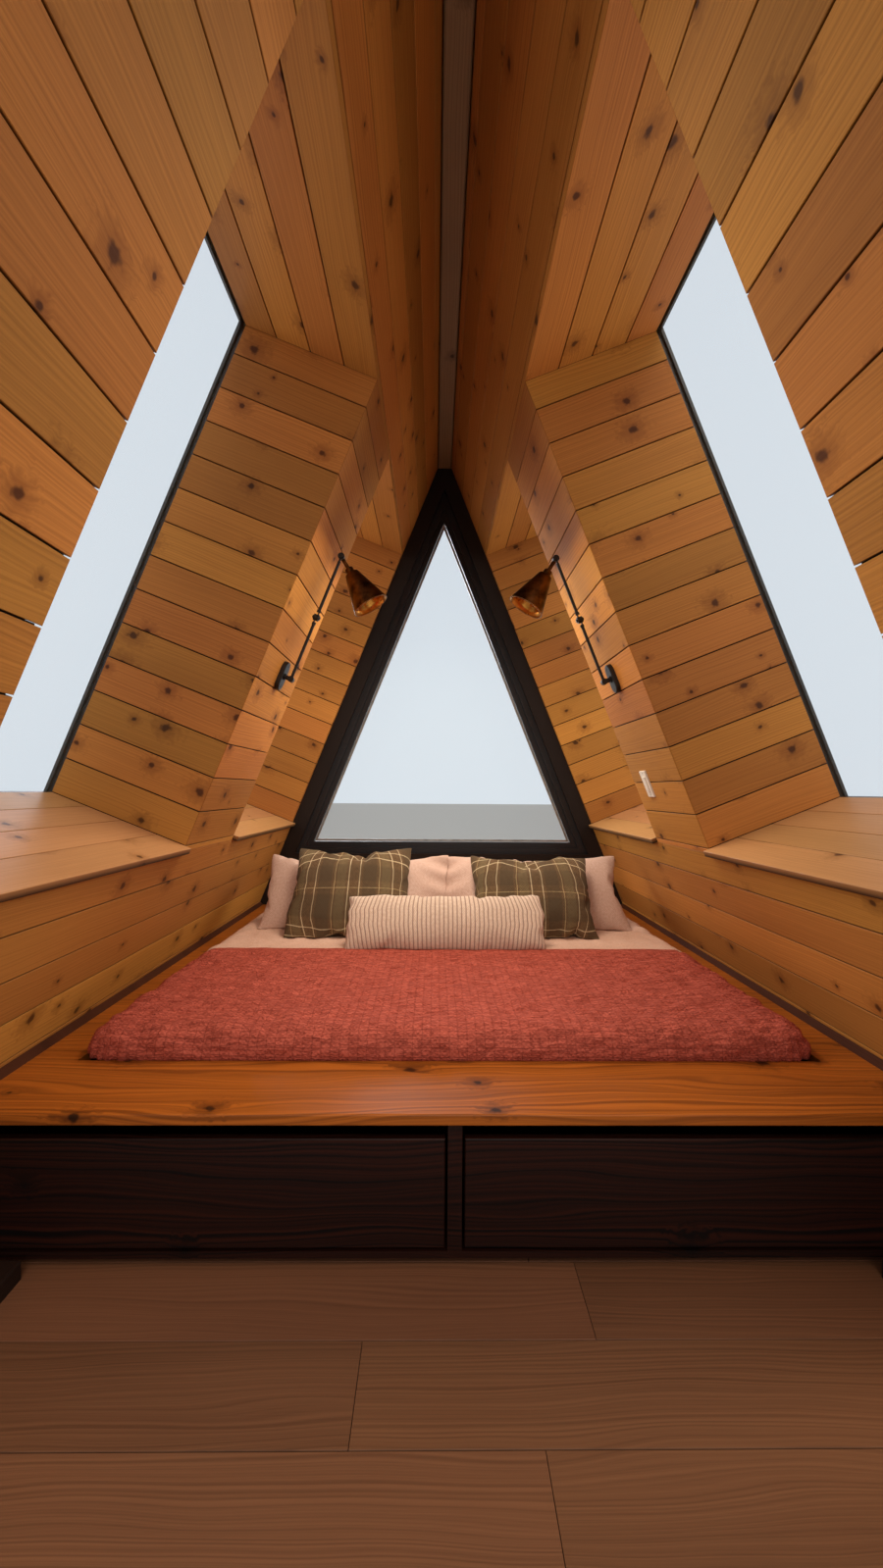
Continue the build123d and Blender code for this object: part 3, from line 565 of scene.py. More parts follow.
def turned(profile, starts, axis, steps, closed=False):
    """Profiles of distance and radius, each carried round the axis through its own start.

    A point is the start, plus the distance along the axis, plus the radius along a spoke that
    turns about it. A closed profile joins its last ring to its first, and an open one is capped.
    """
    profile, starts = np.asarray(profile, float), np.atleast_2d(np.asarray(starts, float))
    axis = np.asarray(axis, float) / np.linalg.norm(axis)
    first = np.cross(axis, (0, 1, 0) if abs(axis[1]) < 0.9 else (1, 0, 0))
    first = first / np.linalg.norm(first)
    angle = np.arange(steps) * 2 * math.pi / steps
    spoke = np.cos(angle)[:, None] * first + np.sin(angle)[:, None] * np.cross(axis, first)
    points = (starts[:, None, None] + profile[:, None, :1] * axis
              + profile[:, None, 1:] * spoke[None])
    index = np.arange(len(profile) * steps).reshape(-1, steps)
    ahead = np.roll(index, -1, 1)
    rows = np.append(np.arange(len(profile)), 0)[:len(profile) + closed]
    quads = np.stack([index[rows[:-1]], ahead[rows[:-1]], ahead[rows[1:]], index[rows[1:]]], -1)
    base = np.arange(len(starts))[:, None, None] * index.size
    groups = [(quads.reshape(-1, 4) + base).reshape(-1, 4)]
    if not closed:
        caps = np.stack([index[0][::-1], index[-1]])
        groups.append((caps + base).reshape(-1, steps))
    return points.reshape(-1, 3), groups


def screws(name, centres, axis, head, finish, slot):
    """Round screw heads: rings of radius times cosine at height times sine, over their centres."""
    radius, height = head
    tilt = np.radians([0.0, 35.0, 62.0, 80.0])
    dome = np.stack([height * np.sin(tilt), radius * np.cos(tilt)], -1)
    profile = np.concatenate([[(-0.0004, radius)], dome])
    points, faces = turned(profile, centres, axis, 10)
    make(name, points, faces, finish, slot, smooth=True)


def seams(low, high, first, cover):
    """Lower and upper edges of the rows between two heights, and half gaps at their edges."""
    steps = np.arange(math.floor((low - first) / cover), math.ceil((high - first) / cover) + 1)
    edges = first + steps * cover
    edges = edges[(edges > low + NARROWEST_ROW) & (edges < high - NARROWEST_ROW)]
    edges = np.concatenate([[low], edges, [high]])
    half = np.full(len(edges), LINING_GAP / 2)
    half[[0, -1]] = 0
    return edges[:-1], edges[1:], half[:-1], half[1:]


def boards(origin, along, across, into, start, stop, low, high, half_low, half_high,
           ends=(0, 0), mitres=(0, 0), skews=(0, 0), thickness=LINING_THICKNESS, seeds=None):
    """Closed boards side by side, as arrays with one row for each board.

    A board's section is its face, a small arris on both edges, and a tongue under the groove
    that reaches the next board. It is carried from start to stop. Ends are 1 where two faces
    meet in a mitre with a rounded corner, mitres are 1 for an edge cut at 45 degrees, and
    skews are how far an end moves for each metre across.
    """
    low, high, half_low, half_high, start, stop = (
        np.atleast_1d(part).astype(float)
        for part in np.broadcast_arrays(low, high, half_low, half_high, start, stop)
    )
    count = len(low)
    reach = np.where(half_high > 0, half_high - SHADOW, 0)
    groove = min(GROOVE_DEPTH, thickness * 0.5)
    near, far, zero = low + half_low, high - half_high, np.zeros(count)
    section = np.stack([
        np.stack([near + ARRIS, zero], -1),
        np.stack([far - ARRIS, zero], -1),
        np.stack([far, zero + ARRIS], -1),
        np.stack([far, zero + groove], -1),
        np.stack([high + reach, zero + groove + SHADOW], -1),
        np.stack([high + reach, zero + thickness], -1),
        np.stack([near, zero + thickness], -1),
        np.stack([near, zero + ARRIS], -1),
    ], 1)
    section[:, [0, 6, 7], 0] += mitres[0] * section[:, [0, 6, 7], 1]
    section[:, 1:6, 0] -= mitres[1] * section[:, 1:6, 1]
    turn = np.radians([45.0, 22.5, 0.0])
    rounded = np.stack([1 - np.sin(turn), 1 - np.cos(turn)], -1) * CORNER_ROUND
    # A rounded end takes three rings, each set on by 0.1 mm so that no two fall together
    rings = []
    for number, (place, sign) in enumerate(((start, 1), (stop, -1))):
        made = []
        for step, (inward, deep) in enumerate(rounded if ends[number] else [(0.0, 0.0)]):
            depth = np.maximum(section[..., 1], deep)
            shear = np.maximum(inward, depth * ends[number]) + step * 0.0001
            made.append([place[:, None] + sign * shear + skews[number] * section[..., 0],
                         section[..., 0], depth])
        rings.extend(made if number == 0 else made[::-1])
    lengthwise, crosswise, depth = np.array(rings).transpose(1, 2, 0, 3)
    origin, along, across, into = (np.asarray(part, float)
                                   for part in (origin, along, across, into))
    points = (origin + lengthwise[..., None] * along + crosswise[..., None] * across
              + depth[..., None] * into)
    corners, size = 8, 8 * len(rings)
    index = np.arange(size).reshape(-1, corners)
    ahead = np.roll(index, -1, 1)
    quads = np.stack([index[:-1], index[1:], ahead[1:], ahead[:-1]], -1).reshape(-1, 4)
    caps = np.stack([index[0], index[-1][::-1]])
    if np.linalg.det(np.stack([along, across, into])) < 0:
        quads, caps = quads[:, ::-1], caps[:, ::-1]
    base = np.arange(count)[:, None, None] * size
    seeds = RANDOM.random(count) if seeds is None else np.asarray(seeds)
    return {
        "points": points.reshape(-1, 3),
        "uv": np.stack([lengthwise, crosswise + depth], -1).reshape(-1, 2),
        "board": np.broadcast_to(seeds[:, None, None], depth.shape).ravel(),
        # Painted shade mask: 0 on the face, rising from a third of the arris down into the groove
        # and tongue
        "groove": np.clip((depth - 0.3 * ARRIS) / 0.0025, 0, 1).ravel(),
        "quads": (quads + base).reshape(-1, 4),
        "caps": (caps + base).reshape(-1, corners),
    }


def joined(name, parts, finish, slot, replaces=()):
    """One piece from several sets of boards."""
    shift, quads, caps = 0, [], []
    for part in parts:
        quads.append(part["quads"] + shift)
        caps.append(part["caps"] + shift)
        shift += len(part["points"])
    together = {key: np.concatenate([part[key] for part in parts])
                for key in ("points", "uv", "board", "groove")}
    make(name, together["points"], [np.concatenate(quads), np.concatenate(caps)], finish, slot,
         replaces=replaces, uv=together["uv"], board=together["board"],
         groove=together["groove"])


# Boards of the room


def lining_boards():
    """Boards along Y on both slopes, whole above and below the windows and cut at each rib."""
    row_seeds = RANDOM.random((2, 3, 64))
    for number, (name, side) in enumerate(SIDES.items()):
        up_slope, outwards = wall_axes(side)
        axes = (wall_point(side, 0.0, 0.0), np.array([0, 1.0, 0]), up_slope, outwards)
        top = (ROOM_HALF_WIDTH - BEAM_HALF - LINING_CLEARANCE) / COS
        under = seams(LINING_CLEARANCE, SILL_UP - SILL_THICKNESS, SILL_UP, LINING_COVER)
        parts = [boards(*axes, FRONT, BACK, *under, seeds=row_seeds[number, 0, :len(under[0])])]
        strip = seams(SILL_UP - SILL_THICKNESS, HEAD_UP, SILL_UP, LINING_COVER)
        for rib, start in enumerate(RIB_STARTS):
            seeds = (row_seeds[number, 1, :len(strip[0])] + 0.37 * rib) % 1.0
            parts.append(boards(*axes, start, start + RIB_WIDTH, *strip,
                                ends=(int(rib > 0), int(rib < 2)), seeds=seeds))
        first_seam = SILL_UP + math.ceil((HEAD_UP - SILL_UP) / LINING_COVER) * LINING_COVER
        half = LINING_GAP / 2
        for starts, width, mitre in ((WINDOW_STARTS, WINDOW_WIDTH, 1), (RIB_STARTS, RIB_WIDTH, 0)):
            for start in starts:
                parts.append(boards(*axes, start, start + width, HEAD_UP, first_seam, 0, half,
                                    mitres=(mitre, 0), seeds=row_seeds[number, 2, :1]))
        above = seams(first_seam, top, SILL_UP, LINING_COVER)
        above[2][0] = half
        seeds = row_seeds[number, 2, 1:1 + len(above[0])]
        parts.append(boards(*axes, FRONT, BACK, *above, seeds=seeds))
        joined(f"{name}_lining_boards", parts, CEDAR, "cedar_lining", replaces=[f"{name}_lining"])


def window_box_boards():
    """Cheeks with boards square to the slope, level with the wall's rows, and a boarded head."""
    for name, side in SIDES.items():
        up_slope, outwards = wall_axes(side)
        parts = []
        rows = seams(SILL_UP - SILL_THICKNESS, HEAD_UP, SILL_UP, LINING_COVER)
        heads = seams(0.0, GLASS_OUT, 0.0, LINING_COVER)
        for start in WINDOW_STARTS:
            for y, into in ((start, -1.0), (start + WINDOW_WIDTH, 1.0)):
                origin = wall_point(side, 0.0, 0.0, y)
                parts.append(boards(origin, outwards, up_slope, (0, into, 0), 0.0, GLASS_OUT,
                                    *rows, ends=(1, 0)))
            origin = wall_point(side, HEAD_UP, 0.0, start)
            for chosen, mitre in ((slice(0, 1), 1), (slice(1, None), 0)):
                parts.append(boards(origin, (0, 1, 0), outwards, up_slope, 0.0, WINDOW_WIDTH,
                                    *(part[chosen] for part in heads), mitres=(mitre, 0)))
        joined(f"{name}_window_box_boards", parts, CEDAR, "cedar_box",
               replaces=[f"{name}_window_boxes"])


def sill_boards():
    """Four boards to a sill, the front one with a rounded nosing that stands into the room."""
    parts = []
    for side in SIDES.values():
        up_slope, outwards = wall_axes(side)
        edges = np.linspace(-SILL_NOSING, GLASS_OUT, 5)
        half = np.array([0, 1, 1, 1, 0]) * LINING_GAP * 0.3
        for start in WINDOW_STARTS:
            origin = wall_point(side, SILL_UP, 0.0, start)
            parts.append(boards(origin, (0, 1, 0), outwards, -up_slope, 0.0, WINDOW_WIDTH,
                                edges[:-1], edges[1:], half[:-1], half[1:],
                                thickness=SILL_THICKNESS))
    joined("window_sill_boards", parts, SILL_CEDAR, "cedar_sill", replaces=["window_sills"])


def box_cladding():
    """Dark metal plates round the outside of each window box."""
    plate = BOX_WALL - LINING_THICKNESS
    low, high = SILL_UP - SILL_THICKNESS - BOX_WALL, HEAD_UP + BOX_WALL
    for name, side in SIDES.items():
        up_slope, outwards = wall_axes(side)
        parts = []
        for start in WINDOW_STARTS:
            left, right = start - BOX_WALL, start + WINDOW_WIDTH + BOX_WALL
            for up, into in ((low, 1), (high, -1)):
                origin = wall_point(side, up, 0.0)
                parts.append(boards(origin, (0, 1, 0), outwards, into * up_slope, left, right,
                                    LINING_THICKNESS, GLASS_OUT, 0, 0, thickness=plate))
            for y, into in ((left, 1), (right, -1)):
                origin = wall_point(side, 0.0, 0.0, y)
                parts.append(boards(origin, outwards, up_slope, (0, into, 0), LINING_THICKNESS,
                                    GLASS_OUT, low + plate, high - plate, 0, 0, thickness=plate))
        joined(f"{name}_box_cladding", parts, ROOFING, "dark_roofing")


def floor_planks():
    """Planks across the bay with staggered butt joints, two of them placed as in the photo."""
    half = ROOM_HALF_WIDTH - PLANK_CLEARANCE
    low, high, half_low, half_high = seams(FRONT, BACK, PLANK_SEAM, PLANK_COVER)
    gaps = (half_low * PLANK_GAP / LINING_GAP, half_high * PLANK_GAP / LINING_GAP)
    joints = RANDOM.uniform(-0.75, 0.75, len(low))
    first = int(np.argmin(abs(high - PLANK_SEAM)))
    joints[first], joints[first - 1] = PLANK_JOINTS
    axes = ((0, 0, FLOOR), (1, 0, 0), (0, 1, 0), (0, 0, -1))
    parts = [
        boards(*axes, -half, joints - PLANK_GAP / 2, low, high, *gaps,
               thickness=PLANK_THICKNESS),
        boards(*axes, joints + PLANK_GAP / 2, half, low, high, *gaps,
               thickness=PLANK_THICKNESS),
    ]
    joined("floor_planks", parts, OAK, "oak_plank", replaces=["floor_boards"])


def portal_boards():
    """Black boards round both ends: two up each slope and two across under the floor.

    They stand back a little, so that their screw heads stay inside the portal's own face.
    """
    cover = PORTAL_OUT / 2
    edges = np.array([0, cover, 2 * cover])
    halves = np.array([0, LINING_GAP / 2, 0])
    under = np.array([-EAVE_DROP, -EAVE_DROP / 2, 0.0])
    for end, into in (("front", 1.0), ("rear", -1.0)):
        low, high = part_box(f"{end}_portal")
        face = (low.y if into > 0 else high.y) + into * PORTAL_SETBACK
        thickness = high.y - low.y - PORTAL_SETBACK
        parts = []
        for name, side in SIDES.items():
            up_slope, outwards = wall_axes(side)
            parts.append(boards(wall_point(side, 0.0, 0.0, face), up_slope, outwards,
                                (0, into, 0), -EAVE_DROP / SIN, ROOM_HALF_WIDTH / COS,
                                edges[:-1], edges[1:], halves[:-1], halves[1:],
                                skews=(-1 / RISE, RISE), thickness=thickness))
            parts.append(boards((0, face, FLOOR), (side, 0, 0), (0, 0, 1), (0, into, 0), 0.0,
                                ROOM_HALF_WIDTH, under[:-1], under[1:], halves[:-1], halves[1:],
                                skews=(0, -1 / RISE), thickness=thickness))
            up, out = np.meshgrid(np.linspace(*PORTAL_SCREWS_UP, 9), (cover / 2, 1.5 * cover))
            heads = wall_point(side, up.ravel(), out.ravel(), face)
            screws(f"{name}_{end}_portal_screws", heads, (0, -into, 0), PORTAL_SCREW,
                   SCREW_STEEL, "black_timber")
        joined(f"{end}_portal_boards", parts, BLACK_BOARDS, "black_timber",
               replaces=[f"{end}_portal"])


# Fittings


def lamp_fittings():
    """Bright liner, rolled rim, lamp holder, bulb and plate screws of both reading lights.

    All but the screws are turned round the shade's own axis. The liner's wall runs straight
    from the ceiling's radius to the rim's, and the rim is a circle carried round.
    """
    for name, side in SIDES.items():
        lean = np.array([-side * math.sin(SHADE_LEAN), 0, -math.cos(SHADE_LEAN)])
        pivot = wall_point(side, LAMP_TOP_UP, -LAMP_STANDOFF) + (0, SHADE_OFFSET, 0)
        deep = np.linspace(SHADE_CEILING + LINER_SEAT, SHADE_RIM - LINER_CLEARANCE, 7)
        outer = np.stack([deep, np.linspace(*SHADE_RADII, 7) - LINER_CLEARANCE], -1)
        inner = (outer + LINER_WALL)[::-1]
        liner = np.concatenate([[(deep[0], LINER_HOLE)], outer, inner,
                                [(inner[-1, 0], LINER_HOLE)]])
        around = np.arange(8) * math.pi / 4
        rim = RIM_CENTRE + RIM_WIRE * np.stack([-np.cos(around), np.sin(around)], -1)
        for label, profile, steps, closed, finish in (
            # Painted light: the liner and rim are bright brass, standing for the light inside the
            # shade
            ("shade_liner", liner, 64, True, PAINTED_LIGHT_BRASS),
            ("shade_rim", rim, 64, True, PAINTED_LIGHT_BRASS),
            ("lamp_holder", HOLDER, 32, True, BLACK_STEEL),
            ("bulb", BULB, 32, False, OPAL),
        ):
            points, faces = turned(profile, pivot, lean, steps, closed)
            make(f"{name}_{label}", points, faces, finish, "aged_brass", f"{name}_shade_body",
                 smooth=label != "lamp_holder")
        heads = wall_point(side, LAMP_FOOT_UP + PLATE_PAIR, -PLATE_FACE)
        screws(f"{name}_plate_screws", heads, -wall_axes(side)[1], PLATE_SCREW, SCREW_STEEL,
               "black_steel")


def wall_fittings():
    """Screws of the light switch, the window frames and the ridge cap."""
    heads = wall_point(1, SWITCH_UP + SWITCH_PAIR, -SWITCH_FACE, SWITCH_Y)
    screws("switch_screws", heads, -wall_axes(1)[1], SWITCH_SCREW, ZINC, "switch_plastic")
    rim = GLASS_OUT + GLASS_THICKNESS + FRAME_LIP
    middle = (FRAME_LIP + FRAME_OUTER) / 2
    for name, side in SIDES.items():
        heads = []
        for start in WINDOW_STARTS:
            across = start + np.linspace(-middle, WINDOW_WIDTH + middle, 5)
            upwards = np.linspace(SILL_UP - middle, HEAD_UP + middle, 7)[1:-1]
            for up in (SILL_UP - middle, HEAD_UP + middle):
                heads.append(wall_point(side, up, rim, across))
            for y in (start - middle, start + WINDOW_WIDTH + middle):
                heads.append(wall_point(side, upwards, rim, y))
        screws(f"{name}_frame_screws", np.concatenate(heads), wall_axes(side)[1], FRAME_SCREW,
               SCREW_STEEL, "black_metal")
        peak = (ROOM_HALF_WIDTH + (ROOF_OUT + SEAM_HEIGHT) * SIN) / COS
        out = ROOF_OUT + SEAM_HEIGHT + CAP_THICKNESS
        rivets = wall_point(side, peak - RIVET_DROP, out,
                            np.arange(FRONT + 0.15, BACK, RIVET_SPACING))
        screws(f"{name}_cap_rivets", rivets, wall_axes(side)[1], CAP_RIVET, ZINC,
               "dark_roofing")


def end_glass_edge():
    """Spacer bar round the far window, seen through its glass along the three edges.

    Its section is carried round the pane's triangle. Setting a side in lowers the peak by that
    distance times the length of a slope that runs one across and the rise up.
    """
    near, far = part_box("end_window_pane")
    rise = (far.z - near.z) / far.x
    rings = []
    for inset, behind in SPACER:
        y, low = near.y + behind, near.z + inset
        high = far.z - inset * math.hypot(1, rise)
        reach = (high - low) / rise
        rings.append([(-reach, y, low), (reach, y, low), (0.0, y, high)])
    points = np.array(rings)
    index = np.arange(12).reshape(4, 3)
    ahead = np.roll(index, -1, 1)
    after, ahead_after = np.roll(index, -1, 0), np.roll(ahead, -1, 0)
    quads = np.stack([index, ahead, ahead_after, after], -1).reshape(-1, 4)
    make("end_glass_spacer", points, [quads[:, ::-1]], ZINC, "window_glass")


lining_boards()
window_box_boards()
sill_boards()
box_cladding()
floor_planks()
portal_boards()
lamp_fittings()
wall_fittings()
end_glass_edge()

dress(ROOFING, "left_roofing", "right_roofing", "ridge_cap")
dress(CORE, *(f"{name}_{part}" for name in SIDES for part in ("lower_wall", "ribs", "upper_wall")))
dress(SKID_TIMBER, "skids")
dress(PLYWOOD, "floor_cassette")
dress(BEAM_TIMBER, "ridge_beam")
dress(PANE, "window_panes", "end_window_pane")
dress(FRAME_METAL, "window_frames", "end_window_sash")
dress(BLACK_TIMBER, "end_wall_panel", "end_window_frame")
# The base and drawers under the ledge are near black, partly as painted shade
dress(WALNUT_WITH_PAINTED_SHADE, "bed_base", "left_drawer", "right_drawer")
dress(LEDGE, "bed_platform")
# Painted shade: the strips are darkened for the shadow line along the wall
dress(SHADE_PAINTED_TRIM, "bed_trims")
dress(DARK_KERB, "floor_kerbs")
dress(BLACK_STEEL, *(f"{name}_lamp_{part}" for name in SIDES for part in ("base", "arm")))
dress(BRONZE, *(f"{name}_lamp_shade" for name in SIDES))
dress(SWITCH_PLASTIC, "light_switch")


# Bedding


def crumple(shape, spacing, wave, stretch=1.0):
    """Even creases over a grid: white noise kept only near one wavelength, one unit deep.

    Stretch above 1 draws the creases out along the second direction.
    """
    grain = RANDOM.standard_normal(shape)
    along = np.fft.fftfreq(shape[0], spacing)[:, None]
    across = np.fft.fftfreq(shape[1], spacing)[None, :] * stretch
    band = np.exp(-((np.hypot(along, across) * wave - 1) / 0.45) ** 2)
    field = np.fft.ifft2(np.fft.fft2(grain) * band).real
    return field / field.std()


def normals_of(points):
    """Unit normals of a grid of points, from the cross product of its two slopes."""
    facing = np.cross(np.gradient(points, axis=1), np.gradient(points, axis=0))
    return facing / np.maximum(np.linalg.norm(facing, axis=-1, keepdims=True), 1e-12)


def grid_faces(rows, columns):
    """Quads of a grid of points."""
    row, column = np.meshgrid(np.arange(rows - 1), np.arange(columns - 1), indexing="ij")
    first = (row * columns + column).ravel()
    return np.stack([first, first + 1, first + columns + 1, first + columns], -1)


def hanging_edge(reach_low, reach_high, hang_low, hang_high, roll, spacing):
    """Places across a cover and the rise at each, from 0 at a hanging hem to 1 on top.

    The last stretch, as wide as the roll, follows a quarter turn: its inset is the roll times
    one less a power of the cosine, and its rise is a power of the sine.
    """
    curve = np.linspace(0, math.pi / 2, int(roll * 1.9 / spacing))
    inner_low, inner_high = reach_low + roll * hang_low, reach_high - roll * hang_high
    middle = np.linspace(inner_low, inner_high, int((inner_high - inner_low) / spacing))
    inset, rise = roll * (1 - np.cos(curve) ** 0.9), np.sin(curve) ** 0.75
    places, rises = [middle], [np.ones(len(middle))]
    if hang_low:
        places.insert(0, (reach_low + inset)[:-1])
        rises.insert(0, rise[:-1])
    if hang_high:
        places.append((reach_high - inset)[::-1][1:])
        rises.append(rise[::-1][1:])
    return np.concatenate(places), np.concatenate(rises)


def draped_cover(name, node, finish, slot, box, roll, ends, creases, gathers, fold, thickness,
                 spacing):
    """A cover laid over the mattress, as a grid over its own length and width.

    Towards each hanging edge the cloth follows a quarter turn, from level on top to upright at
    the hem. Where two such edges meet, a square of the grid is mapped to a quarter disc, so the
    corner is round in plan, and its height is the product of both curves. Ends are 1 where the
    front or back edge hangs, and 0 where it lies flat. Creases are (wavelength, depth, stretch)
    and gathers the depth of the upright folds at the front corners, a sine of the distance
    along the hem that dies away from the corner. Fold is the width of a turned down front edge.
    """
    low, high = (np.array(part) for part in box)
    across, rise_x = hanging_edge(low[0], high[0], 1, 1, roll, spacing)
    along, rise_y = hanging_edge(low[1], high[1], *ends, roll, spacing)
    x, y = np.meshgrid(across, along)
    rise = rise_x[None, :] * rise_y[:, None]
    drop = high[2] - low[2]
    cloth_x = np.append(0, np.cumsum(np.hypot(np.diff(across), drop * np.diff(rise_x))))
    cloth_y = np.append(0, np.cumsum(np.hypot(np.diff(along), drop * np.diff(rise_y))))
    middle, reach = (low[0] + high[0]) / 2, (high[0] - low[0]) / 2
    hem = (reach - np.abs(x - middle)) - (y - low[1])
    upright = (1 - rise) * np.exp(-np.abs(hem) / 0.13)
    slow = crumple(x.shape, spacing, 0.2)
    relief = gathers * upright * np.sin(2 * math.pi * hem / 0.037 + 0.8 * slow)
    part_x = np.clip((np.abs(x - middle) - (reach - roll)) / roll, 0, 1)
    for hang, limit, sign in ((ends[0], low[1], -1), (ends[1], high[1], 1)):
        part_y = np.clip((sign * (y - limit) + roll) / roll, 0, 1) * hang
        both = (part_x > 0) & (part_y > 0)
        round_x = part_x * np.sqrt(1 - part_y ** 2 / 2)
        round_y = part_y * np.sqrt(1 - part_x ** 2 / 2)
        x = np.where(both, middle + np.sign(x - middle) * (reach - roll + roll * round_x), x)
        y = np.where(both, limit + sign * roll * (round_y - 1), y)
    points = np.stack([x, y, low[2] + drop * rise], -1)
    facing = normals_of(points)
    facing *= np.sign(facing[..., 2:].mean())
    wrinkles = sum(depth * crumple(x.shape, spacing, wave, stretch)
                   for wave, depth, stretch in creases)
    calm = np.clip(rise * 3, 0.2, 1)
    for hang, limit in ((ends[0], low[1]), (ends[1], high[1])):
        calm *= np.clip(np.abs(y - limit) / 0.06 + hang, 0.15, 1)
    relief += np.clip(wrinkles, -0.006, 0.008) * calm
    if fold:
        relief += 0.006 / (1 + np.exp((y - low[1] - fold) / 0.0022))
    points = points + facing * relief[..., None]
    points[..., 2] = np.maximum(points[..., 2], low[2])
    uv = np.stack(np.meshgrid(cloth_x, cloth_y), -1)
    piece = make(name, points, [grid_faces(*x.shape)], finish, slot, replaces=[node], uv=uv,
                 smooth=True)
    wall = piece.modifiers.new("thickness", "SOLIDIFY")
    wall.thickness = thickness
    wall.offset = -1.0


def stuffed(width, height, thickness, straight):
    """A pillow sewn from two flat cloths and blown up by cloth simulation, then scaled to size.

    Both cloths are grids over the same rectangle that share their edge points. They start as a
    thin lens, so that pressure opens them and the edges pucker as they draw in. Straight is how
    much of that draw in is taken out again, row by row and column by column.
    """
    rows, columns = int(height / 0.0115), int(width / 0.0115)
    a, b = np.meshgrid(np.linspace(-1, 1, columns), np.linspace(-1, 1, rows))
    lens = 0.012 * (1 - a ** 4) * (1 - b ** 4)
    inner = np.zeros(a.shape, bool)
    inner[1:-1, 1:-1] = True
    fold = 0.0015 * crumple(a.shape, width / columns, 0.12) * inner
    front = np.stack([a * width / 2, b * height / 2, lens + fold], -1)
    back = np.stack([a * width / 2, b * height / 2, -lens - fold], -1)
    index = np.arange(a.size).reshape(a.shape)
    behind = index.copy()
    behind[inner] = a.size + np.arange(inner.sum())
    points = np.concatenate([front.reshape(-1, 3), back[inner]])
    quads = grid_faces(rows, columns)
    faces = np.concatenate([quads, behind.ravel()[quads][:, ::-1]])
    uv = points[:, :2] + 1.0
    mesh = bpy.data.meshes.new("stuffing")
    mesh.from_pydata(points.tolist(), [], faces.tolist())
    body = bpy.data.objects.new("stuffing", mesh)
    bpy.context.scene.collection.objects.link(body)
    cloth = body.modifiers.new("cloth", "CLOTH").settings
    cloth.quality = 6
    cloth.mass = 0.25
    cloth.tension_stiffness = 25
    cloth.compression_stiffness = 18
    cloth.shear_stiffness = 8
    cloth.bending_stiffness = 0.35
    cloth.air_damping = 2.0
    cloth.use_pressure = True
    cloth.uniform_pressure_force = 5.0
    cloth.effector_weights.gravity = 0
    scene = bpy.context.scene
    for step in range(1, 23):
        scene.frame_set(step)
    settled = body.evaluated_get(bpy.context.evaluated_depsgraph_get()).data
    flat = np.empty(len(points) * 3, np.float32)
    settled.vertices.foreach_get("co", flat)
    points = flat.reshape(-1, 3).astype(float)
    scene.frame_set(1)
    bpy.data.objects.remove(body)
    grid = points[:a.size].reshape(rows, columns, 3)
    wide = grid[:, -1, 0] - grid[:, 0, 0]
    tall = grid[-1, :, 1] - grid[0, :, 1]
    for axis, (span, number) in enumerate(zip((wide, tall), np.indices(a.shape))):
        grown = 1 + straight * (span.max() / span - 1)
        points[:, axis] *= grown[np.concatenate([number.ravel(), number[inner]])]
    points -= (points.max(0) + points.min(0)) / 2
    points *= np.array([width, height, thickness]) / np.ptp(points, axis=0)
    return points, faces, uv


def leaning_pillow(name, node, finish, slot, size, squash, straight, flange=0):
    """A stuffed pillow leaning back on the bed, its lower edge pressed flat where it rests.

    Size is width, height and thickness. Flange is -1 or 1 where the case runs on past the
    stuffing at that end as loose folds, which lap over the next pillow's.
    """
    width, height, thickness = size
    low, high = (np.array(corner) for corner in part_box(node))
    points, faces, uv = stuffed(width, height, thickness, straight)
    if flange:
        loose = 0.13
        part = np.clip((flange * points[:, 0] - (width / 2 - loose)) / loose, 0, 1)
        folds = np.sin(points[:, 1] / height * 26.0 + 2.6 * part)
        points[:, 2] = points[:, 2] * (1 - 0.66 * part) + (0.010 * folds + 0.013 * flange) * part
        points[:, 0] += flange * 0.034 * part ** 2
        points[:, 1] *= 1 - 0.07 * part
    up = np.array([0, math.sin(PILLOW_LEAN), math.cos(PILLOW_LEAN)])
    facing = np.array([0, -math.cos(PILLOW_LEAN), math.sin(PILLOW_LEAN)])
    placed = points[:, :1] * (1, 0, 0) + points[:, 1:2] * up + points[:, 2:] * facing
    sunk = np.array([0, 0, squash])
    share = (high - low + sunk) / np.ptp(placed, axis=0)
    placed[:, 1:] = ((placed - placed.min(0)) * share + low - sunk)[:, 1:]
    placed[:, 0] += (low[0] + high[0]) / 2
    give = 0.004
    bed = low[2] + give
    pressed = bed - give + give * np.exp(np.minimum(placed[:, 2] - bed, 0) / 0.02)
    placed[:, 2] = np.where(placed[:, 2] < bed, pressed, placed[:, 2])
    piece = make(name, placed, [faces], finish, slot, replaces=[node], uv=uv, smooth=True)
    finer = piece.modifiers.new("finer", "SUBSURF")
    finer.levels = finer.render_levels = 1


